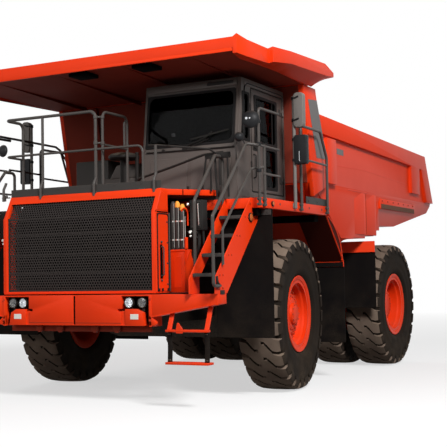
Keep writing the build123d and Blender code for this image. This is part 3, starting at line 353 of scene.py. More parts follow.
def span_node(tree, value, from_low, from_high, to_low=0.0, to_high=1.0):
    given = {"Value": value, "From Min": from_low, "From Max": from_high, "To Min": to_low, "To Max": to_high}
    return add_node(tree, "ShaderNodeMapRange", given).outputs["Result"]


def part_of(tree, vector, index):
    return add_node(tree, "ShaderNodeSeparateXYZ", {0: vector}).outputs[index]


def object_place(tree):
    return tree.nodes.new("ShaderNodeTexCoord").outputs["Object"]


# ---------------------------------------------------------------- finishes
def dust_group():
    """Mask of dust that settles on flat tops and is thrown up near the ground."""
    tree, given, result = new_tree(
        "ShaderNodeTree", "settled dust",
        (("On tops", "Float", 0.4), ("Near ground", "Float", 0.5), ("Reach", "Float", 1.6),
         ("Patch scale", "Float", 3.0)), (("Mask", "Float"),))
    place = object_place(tree)
    up = part_of(tree, tree.nodes.new("ShaderNodeNewGeometry").outputs["Normal"], 2)
    patches = span_node(tree, noise_node(tree, place, given["Patch scale"], 5.0), 0.35, 0.7)
    fine = span_node(tree, noise_node(tree, place, 55.0, 2.0), 0.3, 0.75)
    broken = math_node(tree, "MULTIPLY", patches, math_node(tree, "ADD", 0.45, fine))
    tops = math_node(tree, "MULTIPLY", span_node(tree, up, 0.5, 1.0), given["On tops"])
    height = math_node(tree, "DIVIDE", part_of(tree, place, 2), given["Reach"])
    low = math_node(tree, "MULTIPLY", math_node(tree, "SUBTRACT", 1.0, height, True), given["Near ground"])
    total = math_node(tree, "MULTIPLY", math_node(tree, "ADD", tops, low), broken, True)
    tree.links.new(total, result["Mask"])
    return tree


def wear_group():
    """Mask of chipped paint along rounded edges."""
    tree, given, result = new_tree("ShaderNodeTree", "edge wear",
                                   (("Amount", "Float", 0.5), ("Chip scale", "Float", 30.0)),
                                   (("Mask", "Float"),))
    strip = add_node(tree, "ShaderNodeAttribute", attribute_name="worn").outputs["Fac"]
    chips = span_node(tree, noise_node(tree, object_place(tree), given["Chip scale"], 4.0, 0.7), 0.52, 0.66)
    mask = math_node(tree, "MULTIPLY", math_node(tree, "MULTIPLY", strip, chips), given["Amount"])
    tree.links.new(mask, result["Mask"])
    return tree


def shade_group():
    """Slow change of a painted surface over its area, with its fine ripple as a height."""
    tree, given, result = new_tree("ShaderNodeTree", "sprayed surface",
                                   (("Broad scale", "Float", 0.8), ("Ripple scale", "Float", 140.0)),
                                   (("Broad", "Float"), ("Ripple", "Float")))
    for label, detail in (("Broad", 4.0), ("Ripple", 1.0)):
        noise = noise_node(tree, object_place(tree), given[label + " scale"], detail)
        tree.links.new(noise, result[label])
    return tree


DUST, WEAR, SPRAYED = dust_group(), wear_group(), shade_group()


class Finish:
    """A material put together from a Principled shader and a few node groups."""

    def __init__(self, name, slot, colour, roughness, metallic=0.0, specular=0.5):
        self.material = bpy.data.materials.new(name)
        self.material.use_nodes = True
        self.tree = self.material.node_tree
        self.shader = self.tree.nodes["Principled BSDF"]
        self.shader.inputs["Metallic"].default_value = metallic
        self.shader.inputs["Specular IOR Level"].default_value = specular
        self.colour = self.tree.nodes.new("ShaderNodeRGB").outputs[0]
        self.colour.default_value = (*colour, 1)
        self.roughness = self.tree.nodes.new("ShaderNodeValue").outputs[0]
        self.roughness.default_value = roughness
        self.place = object_place(self.tree)

    def group(self, tree, **values):
        given = {label.replace("_", " "): value for label, value in values.items()}
        return add_node(self.tree, "ShaderNodeGroup", given, node_tree=tree).outputs

    def blend(self, mask, colour, roughness=None):
        """Lays another colour over the surface where the mask is."""
        given = {0: mask, 6: self.colour, 7: (*colour, 1)}
        self.colour = add_node(self.tree, "ShaderNodeMix", given, data_type="RGBA").outputs[2]
        if roughness is not None:
            given = {0: mask, 2: self.roughness, 3: roughness}
            self.roughness = add_node(self.tree, "ShaderNodeMix", given).outputs[0]

    def done(self, height=None, distance=0.0, strength=0.0):
        """Links up the shader, with a fine relief when a height is given."""
        links = {"Base Color": self.colour, "Roughness": self.roughness}
        if height is not None:
            given = {"Height": height, "Distance": distance, "Strength": strength}
            links["Normal"] = add_node(self.tree, "ShaderNodeBump", given).outputs["Normal"]
        for label, socket in links.items():
            self.tree.links.new(socket, self.shader.inputs[label])
        return self.material


PRIMER = (0.09, 0.07, 0.06)
PAINT_DUST, RUBBER_DUST, METAL_DUST = (0.30, 0.22, 0.15), (0.13, 0.095, 0.065), (0.16, 0.12, 0.09)


def paint(name, slot, colour, deep, roughness, specular, tops, ground, wear=0.5):
    """Sprayed enamel with a slow change of tone, chipped edges and light dust."""
    finish = Finish(name, slot, colour, roughness, specular=specular)
    sprayed = finish.group(SPRAYED)
    finish.blend(span_node(finish.tree, sprayed["Broad"], 0.38, 0.72, 0.0, 0.55), deep, roughness + 0.08)
    finish.blend(finish.group(WEAR, Amount=wear)["Mask"], PRIMER, 0.6)
    finish.blend(finish.group(DUST, On_tops=tops, Near_ground=ground)["Mask"], PAINT_DUST, 0.8)
    return finish.done(sprayed["Ripple"], 0.0004, 0.25)


def rubber(name, slot, colour, dusty, tops, ground, reach, grain=90.0, sideways_shade=None):
    """Rubber with dust; faces of a tyre's bars that turn sideways can be painted darker than its crown, as
    painted shade.
    """
    finish = Finish(name, slot, colour, 0.78, specular=0.06)
    tree = finish.tree
    finish.blend(span_node(tree, noise_node(tree, finish.place, 2.2, 6.0), 0.35, 0.72), dusty, 0.88)
    # Faces turned to the sides are darkened as painted shade.
    if sideways_shade:
        turned_out = part_of(tree, tree.nodes.new("ShaderNodeTexCoord").outputs["Normal"], 0)
        finish.blend(span_node(tree, math_node(tree, "ABSOLUTE", turned_out), 0.35, 0.8), sideways_shade)
    dust = finish.group(DUST, On_tops=tops, Near_ground=ground, Reach=reach, Patch_scale=4.5)
    finish.blend(dust["Mask"], RUBBER_DUST, 0.92)
    return finish.done(noise_node(tree, finish.place, grain, 4.0), 0.004, 0.35)


def bare_metal(name, slot, colour, roughness, tops=0.2, scratch=160.0):
    finish = Finish(name, slot, colour, roughness, metallic=1.0)
    streaks = noise_node(finish.tree, finish.place, scratch, 3.0)
    dull = tuple(c * 0.55 for c in colour)
    finish.blend(span_node(finish.tree, streaks, 0.4, 0.7, 0.0, 0.5), dull, roughness + 0.15)
    finish.blend(finish.group(DUST, On_tops=tops, Near_ground=0.1)["Mask"], METAL_DUST, 0.8)
    return finish.done(streaks, 0.0003, 0.2)


def clear_glass(name, slot, tint, specular=0.5, ior=1.5):
    """Tinted pane: clear in the middle, a mirror at a grazing angle."""
    finish = Finish(name, slot, tint, 0.0, specular=specular)
    finish.shader.inputs["IOR"].default_value = ior
    finish.shader.inputs["Transmission Weight"].default_value = 1.0
    return finish.done()


# name, slot, colour, deeper tone, roughness, specular level, dust on tops, dust near the ground, wear
orange = paint("orange enamel", "orange_paint",
               (0.78, 0.040, 0.004), (0.66, 0.030, 0.003), 0.42, 0.12, 0.14, 0.08)
# Near-black red painted as the shade under the fender, for its cheeks and a plate on its front.
fender_shade_red = paint("shadowed enamel of the fender", "orange_paint",
                 (0.055, 0.006, 0.003), (0.035, 0.005, 0.003), 0.7, 0.06, 0.1, 0.1)
# Orange darkened as painted shade, for the bumper's recessed skirt.
skirt_shade_orange = paint("skirt orange with painted shade", "orange_paint",
                     (0.240, 0.030, 0.014), (0.160, 0.020, 0.010), 0.6, 0.08, 0.1, 0.08)
# Orange darkened as painted shade, for undersides and recesses.
shaded_orange = paint("orange with painted shade on undersides", "orange_paint",
                      (0.15, 0.014, 0.006), (0.08, 0.009, 0.005), 0.6, 0.1, 0.3, 0.4)
# Orange darkened as painted shade, where the canopy shades the headboard.
canopy_shade_orange = paint("orange with painted shade under the canopy", "orange_paint",
                      (0.22, 0.034, 0.020), (0.13, 0.022, 0.014), 0.7, 0.08, 0.2, 0.2)
blank_white = paint("blank plate enamel", "cab_paint",
                    (0.78, 0.76, 0.70), (0.62, 0.60, 0.55), 0.45, 0.3, 0.1, 0.2)
cap_amber = paint("amber cap plastic", "orange_paint",
                  (0.85, 0.36, 0.05), (0.70, 0.26, 0.03), 0.4, 0.4, 0.2, 0.1)
nut_orange = paint("wheel nut enamel", "orange_paint",
                   (0.55, 0.040, 0.010), (0.35, 0.028, 0.008), 0.4, 0.2, 0.2, 0.3, 0.8)
cab_grey = paint("cab grey-brown enamel", "cab_paint",
                 (0.078, 0.061, 0.053), (0.056, 0.045, 0.040), 0.45, 0.25, 0.35, 0.1, 0.3)
deck_grey = paint("dark deck enamel", "dark_paint",
                  (0.040, 0.036, 0.033), (0.030, 0.027, 0.025), 0.5, 0.12, 0.5, 0.2, 0.6)
tube_grey = paint("handrail enamel", "tube_paint",
                  (0.058, 0.050, 0.045), (0.042, 0.037, 0.033), 0.38, 0.22, 0.15, 0.1, 0.3)
chassis_black = paint("chassis black", "chassis_paint",
                      (0.016, 0.014, 0.013), (0.010, 0.009, 0.008), 0.6, 0.12, 0.4, 0.4, 0.3)
mesh_black = paint("grille black", "grille_mesh",
                   (0.032, 0.026, 0.024), (0.024, 0.020, 0.018), 0.5, 0.10, 0.3, 0.1, 0.5)
# Near-black for seams, also laid as dark sheets of painted shade behind the grille, in recesses and inside
# the cab.
black_and_shade = paint("black of seams, and painted shade in recesses", "grille_mesh",
                   (0.003, 0.003, 0.003), (0.002, 0.002, 0.002), 0.9, 0.02, 0.0, 0.0, 0.1)
cast_dark = paint("cast part enamel", "hydraulic_cast",
                  (0.040, 0.036, 0.033), (0.024, 0.021, 0.019), 0.6, 0.2, 0.6, 0.8, 0.4)
stripe_grey = paint("pale stripe enamel", "cab_paint",
                    (0.135, 0.128, 0.125), (0.110, 0.104, 0.101), 0.5, 0.2, 0.2, 0.1, 0.3)
rub_wood = paint("scuffed rub board", "orange_paint",
                 (0.150, 0.070, 0.045), (0.095, 0.050, 0.035), 0.75, 0.1, 0.8, 0.3, 0.8)
mirror_grey = paint("mirror shell enamel", "dark_paint",
                    (0.150, 0.135, 0.122), (0.115, 0.105, 0.095), 0.4, 0.3, 0.2, 0.1, 0.4)
mirror_black = paint("mirror housing enamel", "dark_paint",
                     (0.012, 0.012, 0.013), (0.009, 0.009, 0.010), 0.45, 0.14, 0.2, 0.1, 0.3)
amber_glass = paint("amber lens", "amber_lens",
                    (0.50, 0.105, 0.010), (0.36, 0.065, 0.006), 0.22, 0.5, 0.1, 0.1, 0.0)
rubber_black = paint("gasket rubber", "cab_paint",
                     (0.010, 0.009, 0.009), (0.007, 0.007, 0.007), 0.6, 0.08, 0.1, 0.05, 0.0)
# name, slot, colour, dusty tone, dust on tops, dust near the ground, its reach, grain, painted shade of the
# sideways faces
tyre_tread = rubber("tyre rubber", "tyre_rubber",
                    (0.135, 0.098, 0.077), (0.230, 0.170, 0.130), 0.5, 0.3, 1.9, 90.0, (0.020, 0.015, 0.012))
tyre_side = rubber("tyre side rubber", "tyre_rubber",
                   (0.011, 0.008, 0.006), (0.021, 0.015, 0.011), 0.2, 0.4, 0.9)
flap_sheet = rubber("flap rubber", "flap_rubber",
                    (0.005, 0.004, 0.004), (0.009, 0.007, 0.006), 0.1, 0.2, 1.6, 30.0)
seat_weave = rubber("woven seat cloth", "seat_cloth",
                    (0.020, 0.021, 0.024), (0.034, 0.035, 0.038), 0.1, 0.0, 1.0, 700.0)
moulded = rubber("moulded cab plastic", "interior_plastic",
                 (0.022, 0.021, 0.020), (0.032, 0.030, 0.028), 0.2, 0.0, 1.0, 260.0)
steel = bare_metal("zinc plated steel", "rod_chrome", (0.62, 0.60, 0.56), 0.3)
worn_steel = bare_metal("worn load floor steel", "rod_chrome", (0.30, 0.26, 0.23), 0.5, 0.9, 26.0)
chrome = bare_metal("hard chrome", "rod_chrome", (0.82, 0.83, 0.85), 0.08, 0.05)
pane = clear_glass("dark cab glass", "cab_glazing", (0.020, 0.026, 0.032), 0.2, 1.09)
door_pane = clear_glass("clear door glass", "cab_glazing", (0.12, 0.15, 0.18), 0.12, 1.06)
lens = clear_glass("lamp lens", "lamp_glass", (0.92, 0.94, 0.95))

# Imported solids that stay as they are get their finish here.
for node, finish in (("handrails", tube_grey), ("cab_glass", pane), ("door_glass", door_pane),
                     ("hoist_rod_left", chrome), ("hoist_rod_right", chrome)):
    materials = frame["nodes"][node].data.materials
    materials.clear()
    materials.append(finish)


# ---------------------------------------------------------------- camera, light and floor
def link_object(name, data):
    made = bpy.data.objects.new(name, data)
    bpy.context.scene.collection.objects.link(made)
    return made


def set_camera():
    """Camera at the reference view, given by its place, heading, pitch and roll."""
    heading, pitch, roll = math.radians(27.53), math.radians(3.04), math.radians(-1.022)
    level = math.cos(pitch)
    forward = Vector((-math.sin(heading) * level, math.cos(heading) * level, math.sin(pitch)))
    right = Vector((math.cos(heading), math.sin(heading), 0))
    up = right.cross(forward)
    right_tilted = right * math.cos(roll) + up * math.sin(roll)
    up_tilted = up * math.cos(roll) - right * math.sin(roll)
    data = bpy.data.cameras.new("camera")
    data.lens, data.sensor_width = 80.2, 36.0
    data.clip_end = 200.0
    camera = link_object("camera", data)
    turn = Matrix((right_tilted, up_tilted, -forward)).transposed().to_4x4()
    camera.matrix_world = Matrix.Translation((7.812, AXLE_Y - 13.201, 1.637)) @ turn
    bpy.context.scene.camera = camera


def add_lamp(name, place, size, power):
    data = bpy.data.lights.new(name, "AREA")
    data.shape, data.size, data.energy = "DISK", size, power
    lamp = link_object(name, data)
    lamp.location = place
    lamp.rotation_mode = "QUATERNION"
    lamp.rotation_quaternion = (Vector((0, 0, 2.0)) - Vector(place)).to_track_quat("-Z", "Y")


def seen_directly(tree):
    """One for camera, mirror and see-through rays, nought for light that is only passed on."""
    path = tree.nodes.new("ShaderNodeLightPath").outputs
    mirror_or_clear = math_node(tree, "MAXIMUM", path["Is Glossy Ray"], path["Is Transmission Ray"])
    return math_node(tree, "MAXIMUM", path["Is Camera Ray"], mirror_or_clear)


def set_light():
    add_lamp("key", (12.5, -12.5, 12.5), 4.0, 4000)
    add_lamp("front fill", (-5.0, -19.0, 8.0), 9.0, 700)
    add_lamp("rear rim", (-10.0, 14.0, 13.0), 6.0, 800)
    world = bpy.data.worlds.new("studio")
    world.use_nodes = True
    tree = world.node_tree
    back = tree.nodes["Background"]
    tree.links.new(span_node(tree, seen_directly(tree), 0.0, 1.0, 0.13, 1.0), back.inputs["Strength"])
    back.inputs["Color"].default_value = (1, 1, 1, 1)
    bpy.context.scene.world = world
    # Plain colour handling, so that a colour renders about as it is written.
    bpy.context.scene.view_settings.view_transform = "Standard"


def lay_floor():
    """Pale floor that runs into a pale background and keeps the truck's shadow."""
    bm = bmesh.new()
    bmesh.ops.create_grid(bm, x_segments=1, y_segments=1, size=90.0)
    mesh = bpy.data.meshes.new("floor")
    bm.to_mesh(mesh)
    bm.free()
    floor = link_object("floor", mesh)
    pale = bpy.data.materials.new("pale floor")
    pale.use_nodes = True
    tree = pale.node_tree
    shader = tree.nodes["Principled BSDF"]
    shader.inputs["Roughness"].default_value = 0.9
    shader.inputs["Specular IOR Level"].default_value = 0.1
    glow = add_node(tree, "ShaderNodeEmission", {"Color": (1, 1, 1, 1)}).outputs[0]
    away = add_node(tree, "ShaderNodeVectorMath", {0: object_place(tree)}, operation="LENGTH")
    away = away.outputs["Value"]
    direct = seen_directly(tree)
    tones = {0: direct, 6: (0.15, 0.145, 0.14, 1), 7: (0.95, 0.95, 0.95, 1)}
    tone = add_node(tree, "ShaderNodeMix", tones, data_type="RGBA").outputs[2]
    tree.links.new(tone, shader.inputs["Base Color"])
    seen = math_node(tree, "MULTIPLY", direct, span_node(tree, away, 8.0, 26.0, 0.58, 1.0))
    mix = add_node(tree, "ShaderNodeMixShader", {0: seen, 1: shader.outputs[0], 2: glow}).outputs[0]
    tree.links.new(mix, tree.nodes["Material Output"].inputs["Surface"])
    mesh.materials.append(pale)


set_camera()
set_light()
lay_floor()


# ---------------------------------------------------------------- repeats
COPY_INPUTS = (("Item", "Object", None), ("Finish", "Material", None), ("Count", "Int", 8))


def end_tree(tree, given, result, shape):
    """Makes the copies real and gives them their finish."""
    real = add_node(tree, "GeometryNodeRealizeInstances", {"Geometry": shape}).outputs["Geometry"]
    dressed = add_node(tree, "GeometryNodeSetMaterial", {"Geometry": real, "Material": given["Finish"]})
    tree.links.new(dressed.outputs["Geometry"], result["Geometry"])


def copies_on(tree, given, result, points, rotation=None):
    """Real copies of the item on each point."""
    item = add_node(tree, "GeometryNodeObjectInfo", {"Object": given["Item"]}).outputs["Geometry"]
    inputs = {"Points": points, "Instance": item}
    if rotation is not None:
        inputs["Rotation"] = rotation
    spread = add_node(tree, "GeometryNodeInstanceOnPoints", inputs).outputs["Instances"]
    end_tree(tree, given, result, spread)


def copy_tree(name, more_inputs=()):
    return new_tree("GeometryNodeTree", name, COPY_INPUTS + more_inputs, (("Geometry", "Geometry"),))


def line_of_points(tree, count, step):
    return add_node(tree, "GeometryNodeMeshLine", {"Count": count, "Offset": step}).outputs["Mesh"]


def ring_tree():
    """Copies of an item spun evenly round +Z."""
    tree, given, result = copy_tree("ring of copies")
    step = math_node(tree, "DIVIDE", 2 * math.pi, given["Count"])
    angle = math_node(tree, "MULTIPLY", tree.nodes.new("GeometryNodeInputIndex").outputs["Index"], step)
    spin = add_node(tree, "ShaderNodeCombineXYZ", {"Z": angle}).outputs[0]
    turn = add_node(tree, "FunctionNodeEulerToRotation", {0: spin}).outputs[0]
    copies_on(tree, given, result, line_of_points(tree, given["Count"], (0, 0, 0)), turn)
    return tree


def row_tree():
    """Copies of an item set out along a straight step."""
    tree, given, result = copy_tree("row of copies", (("Step", "Vector", (0.1, 0, 0)),))
    copies_on(tree, given, result, line_of_points(tree, given["Count"], given["Step"]))
    return tree


def sheet_tree():
    """Copies of a cell in staggered rows, in the XZ plane."""
    tree, given, result = copy_tree("perforated sheet", (("Columns", "Int", 10), ("Pitch", "Float", 0.05)))
    index = tree.nodes.new("GeometryNodeInputIndex").outputs["Index"]
    row = math_node(tree, "FLOOR", math_node(tree, "DIVIDE", index, given["Columns"]))
    column = math_node(tree, "SUBTRACT", index, math_node(tree, "MULTIPLY", row, given["Columns"]))
    odd = math_node(tree, "MULTIPLY", math_node(tree, "MODULO", row, 2.0), 0.5)
    x = math_node(tree, "MULTIPLY", math_node(tree, "ADD", column, odd), given["Pitch"])
    z = math_node(tree, "MULTIPLY", math_node(tree, "MULTIPLY", row, given["Pitch"]), math.sqrt(3) / 2)
    place = add_node(tree, "ShaderNodeCombineXYZ", {"X": x, "Z": z}).outputs[0]
    line = line_of_points(tree, given["Count"], (0, 0, 0))
    spots = add_node(tree, "GeometryNodeSetPosition", {"Geometry": line, "Position": place})
    spots = spots.outputs["Geometry"]
    copies_on(tree, given, result, spots)
    return tree


def tube_tree():
    """Round tube along a run of straight edges, bent at each corner."""
    tree, given, result = new_tree(
        "GeometryNodeTree", "bent tube",
        (("Run", "Object", None), ("Finish", "Material", None), ("Tube radius", "Float", 0.02),
         ("Bend radius", "Float", 0.08), ("Sides", "Int", 12)),
        (("Geometry", "Geometry"),))
    run = add_node(tree, "GeometryNodeObjectInfo", {"Object": given["Run"]}).outputs["Geometry"]
    curve = add_node(tree, "GeometryNodeMeshToCurve", {"Mesh": run}).outputs["Curve"]
    bend = add_node(tree, "GeometryNodeFilletCurve", {
        "Curve": curve, "Count": 6, "Limit Radius": True, "Radius": given["Bend radius"]}, mode="POLY")
    section = add_node(tree, "GeometryNodeCurvePrimitiveCircle",
                       {"Resolution": given["Sides"], "Radius": given["Tube radius"]})
    sweep = add_node(tree, "GeometryNodeCurveToMesh", {
        "Curve": bend.outputs["Curve"], "Profile Curve": section.outputs["Curve"], "Fill Caps": True})
    end_tree(tree, given, result, sweep.outputs["Mesh"])
    return tree


RING, ROW, SHEET, TUBE = ring_tree(), row_tree(), sheet_tree(), tube_tree()


def mesh_object(name, bm):
    mesh = bpy.data.meshes.new(name)
    bm.to_mesh(mesh)
    bm.free()
    return link_object(name, mesh)


def grown(tree, label, item, **values):
    """Runs a geometry tree on an item and returns the shape that it makes."""
    held = mesh_object("item", item)
    host = mesh_object("host", bmesh.new())
    modifier = host.modifiers.new("grown", "NODES")
    modifier.node_group = tree
    values = {label: held, **{name.replace("_", " "): value for name, value in values.items()}}
    for socket in tree.interface.items_tree:
        if socket.in_out == "INPUT" and socket.name in values:
            modifier[socket.identifier] = values[socket.name]
    bpy.context.view_layer.update()
    mesh = bpy.data.meshes.new_from_object(host.evaluated_get(bpy.context.evaluated_depsgraph_get()))
    bm = bmesh.new()
    bm.from_mesh(mesh)
    bpy.data.meshes.remove(mesh)
    bpy.data.objects.remove(host)
    bpy.data.objects.remove(held)
    return bm


def copies(tree, item, **values):
    return grown(tree, "Item", item, **values)


def tube(points, radius, bend=0.08, sides=12):
    """Round tube through points, with its corners bent."""
    bm = bmesh.new()
    corners = [bm.verts.new(p) for p in points]
    for a, b in zip(corners, corners[1:]):
        bm.edges.new((a, b))
    return grown(TUBE, "Run", bm, Tube_radius=radius, Bend_radius=bend, Sides=sides)


def hex_bolt(radius, height, centre, direction):
    """Hexagon head on its washer."""
    bm = bmesh.new()
    centre, direction = Vector(centre), Vector(direction).normalized()
    for rise, r, sides in ((height, radius, 6), (height * 0.22, radius * 1.5, 12)):
        pour(rod(centre - direction * 0.002, centre + direction * rise, r, sides), bm)
    return bm


def bolt_row(start, end, count, direction, radius=0.011, height=0.012):
    """Bolts from one point to another."""
    step = (Vector(end) - Vector(start)) / max(1, count - 1)
    return copies(ROW, hex_bolt(radius, height, start, direction), Count=count, Step=step)


# ---------------------------------------------------------------- wheels
tyre_low, tyre_high = packed_box("rear_tyres_left")
tyre_radius = (tyre_high.z - tyre_low.z) / 2
tyre_half_width = 0.31
twin_offset = (tyre_high.x - tyre_low.x) / 2 - tyre_half_width
lug_depth = 0.052
lug_count = 28
bead_radius = 0.448


def carcass_profile():
    """Closed section of the tyre under its lugs: (radius, distance outwards)."""
    r, w, base = tyre_radius, tyre_half_width, tyre_radius - lug_depth
    half = [
        (r - 0.001, 0.0), (r - 0.001, 0.030), (base, 0.042), (base, 0.20), (base - 0.012, w * 0.86),
        (base - 0.055, w * 0.955), (base - 0.075, w * 0.93), (base - 0.13, w * 0.975),
        (base - 0.145, w * 0.965),
        (r * 0.76, w), (r * 0.70, w * 0.995), (r * 0.62, w * 0.955), (r * 0.605, w * 0.965),
        (r * 0.56, w * 0.90),
        (0.562, w * 0.82), (0.553, w * 0.77), (bead_radius, w * 0.75),
    ]
    return half + [(radius, -along) for radius, along in reversed(half[1:])]


def lug_shape(side):
    """One curved bar of tread from the middle of the tyre out over its shoulder."""
    r, w = tyre_radius, tyre_half_width
    # depth of the top, depth of the root, distance outwards, how far the bar has swung round, its width share
    stations = (
        (0, 0.060, 0.020, 0.00, 1.06), (0, 0.060, 0.075, 0.02, 1.08), (0.001, 0.060, 0.125, 0.30, 1.06),
        (0.004, 0.060, 0.180, 0.66, 1.06), (0.010, 0.065, 0.245, 0.76, 0.98),
        (0.028, 0.090, w * 0.94, 0.78, 0.90),
        (0.070, 0.120, w * 0.995, 0.78, 0.86), (0.150, 0.160, w, 0.62, 0.80),
    )
    pitch = 2 * math.pi / lug_count
    rows = []
    for top, root, along, swing, share in stations:
        middle = swing * pitch * 0.9 * side
        half = pitch * 0.375 * share
        section = ((root, -1.08), (top, -1.0), (top, 0.0), (top, 1.0), (root, 1.08))
        rows.append([spun(r - depth, middle + spread * half, along * side) for depth, spread in section])
    bm = skin(rows, ends_meet=False, capped=True)
    if side < 0:
        bmesh.ops.rotate(bm, cent=(0, 0, 0), matrix=Matrix.Rotation(pitch / 2, 3, "Z"), verts=bm.verts)
    return bm


def add_tyre(casing, tread, centre, outward):
    casing.add(lathe(carcass_profile(), centre, outward, 96))
    r = tyre_radius
    band = [(r - 0.0005, -0.030), (r, -0.027), (r, 0.027), (r - 0.0005, 0.030), (r - 0.004, 0.030),
            (r - 0.004, -0.030)]
    tread.add(lathe(band, centre, outward, 96))
    for side in (1, -1):
        tread.add(moved(copies(RING, lug_shape(side), Count=lug_count), facing(centre, outward)))


def bolt_circles(piece, centre, outward, circles):
    """Rings of bolts: (radius, distance outwards, count, size, height) each."""
    for radius, along, count, size, height in circles:
        ring = copies(RING, hex_bolt(size, height, (radius, 0, along), (0, 0, 1)), Count=count)
        piece.add(moved(ring, facing(centre, outward)))


def rim_profile(disc_along):
    """Section of a demountable rim with its flanges, gutter and lock ring, and its recessed disc."""
    return [
        (0.445, -0.243), (0.520, -0.246), (0.546, -0.252), (0.550, -0.262), (0.542, -0.268), (0.505, -0.262),
        (0.470, -0.255), (0.430, -0.235), (0.418, -0.200), (0.418, disc_along - 0.06),
        (0.410, disc_along - 0.03),
        (0.405, disc_along), (0.412, disc_along + 0.02), (0.420, disc_along + 0.05), (0.424, 0.165),
        (0.452, 0.200),
        (0.455, 0.222), (0.470, 0.226), (0.474, 0.238), (0.488, 0.240), (0.492, 0.252), (0.520, 0.262),
        (0.542, 0.268), (0.550, 0.262), (0.546, 0.252), (0.520, 0.246), (0.445, 0.243), (0.444, 0.0),
    ]


def add_front_rim(rim, nuts, centre, outward):
    rim.add(lathe(rim_profile(0.085), centre, outward, 72))
    disc = [(0.412, 0.060), (0.412, 0.085), (0.395, 0.092), (0.300, 0.098), (0.292, 0.128), (0.232, 0.134),
            (0.225, 0.150), (0.206, 0.154), (0.200, 0.060)]
    rim.add(lathe(disc, centre, outward, 72))
    hub = [(0.206, -0.215), (0.206, 0.158), (0.160, 0.164), (0.150, 0.196), (0.118, 0.210), (0.040, 0.214),
           (0.0, 0.215), (0.0, 0.205), (0.0855, 0.19), (0.0855, -0.215)]
    rim.add(lathe(hub, centre, outward, 56))
    bolt_circles(nuts, centre, outward, (
        (0.345, 0.094, 24, 0.017, 0.030), (0.262, 0.130, 20, 0.013, 0.020), (0.132, 0.205, 10, 0.010, 0.012)))


def add_rear_rims(rim, nuts, centre, outward):
    t, inner = twin_offset, 0.10 - twin_offset - 0.26
    for offset in (t, -t):
        rim.add(lathe(rim_profile(-0.10), centre + outward * offset, outward, 72))
    hub = [(0.408, inner), (0.408, t - 0.05), (0.392, t - 0.03), (0.330, t - 0.024), (0.322, t + 0.03),
           (0.262, t + 0.045), (0.255, t + 0.10), (0.225, t + 0.112), (0.060, t + 0.118), (0.0, t + 0.120),
           (0.0, t + 0.10), (0.1505, t + 0.08), (0.1505, inner)]
    rim.add(lathe(hub, centre, outward, 72))
    bolt_circles(nuts, centre, outward, (
        (0.362, t - 0.026, 28, 0.015, 0.030), (0.292, t + 0.038, 16, 0.012, 0.018),
        (0.195, t + 0.112, 12, 0.011, 0.014)))
    start = centre + Vector((0, 0, 0.43)) + outward * (t + 0.10)
    end = start + outward * 0.10 - Vector((0, 0, 0.05))
    nuts.add(tube([start, start + outward * 0.08, end], 0.006, 0.02, 8))


# start of the name, its ending for more than one, joint, offsets of the tyres, what makes the rims
for kind, s, wheel, offsets, add_rims in (("front", "", "front_wheel", (0.0,), add_front_rim),
                                          ("rear", "s", "rear_wheels", (twin_offset, -twin_offset),
                                           add_rear_rims)):
    for side_name, side in SIDES:
        spin = f"{wheel}_spin_{side_name}"
        centre, outward = joint_place(spin), joint_axis(spin) * side
        body = f"{wheel}_{side_name}"
        tyre = f"{kind}_tyre{s}_{side_name}"
        casing = Piece(f"{kind}_tyre_casing{s}_{side_name}", tyre_side, body, tyre, 50)
        tread = Piece(f"{kind}_tyre_tread{s}_{side_name}", tyre_tread, body, smooth_below=28)
        for offset in offsets:
            add_tyre(casing, tread, centre + outward * offset, outward)
        rim = Piece(f"{kind}_wheel_rim{s}_{side_name}", orange, body, f"{kind}_rim{s}_{side_name}", 24)
        nuts = Piece(f"{kind}_wheel_nuts_{side_name}", nut_orange, body)
        add_rims(rim, nuts, centre, outward)


# ---------------------------------------------------------------- grille
def hex_cell(pitch, web, depth):
    """One cell of the perforated sheet: a hexagon with a hexagonal hole."""
    outer, inner = pitch / math.sqrt(3), (pitch - web) / math.sqrt(3)
    angles = [math.radians(30 + 60 * i) for i in range(6)]
    rings = ((outer, 0.0), (inner, 0.0), (inner, depth), (outer, depth))
    return skin([[(radius * math.cos(a), y, radius * math.sin(a)) for a in angles] for radius, y in rings])


grille_low, grille_high = packed_box("radiator_grille")
# the housing's front turns back above this height
slope_z = 2.48
slope_turn = math.atan2(0.155, 0.305)


def lean_back(bm, front_y):
    """Bends what is above the slope line back to the housing's raked top."""
    for vert in bm.verts:
        if vert.co.z > slope_z:
            rise, depth = vert.co.z - slope_z, vert.co.y - front_y
            vert.co.z = slope_z + rise * math.cos(slope_turn) - depth * math.sin(slope_turn)
            vert.co.y = front_y + rise * math.sin(slope_turn) + depth * math.cos(slope_turn)


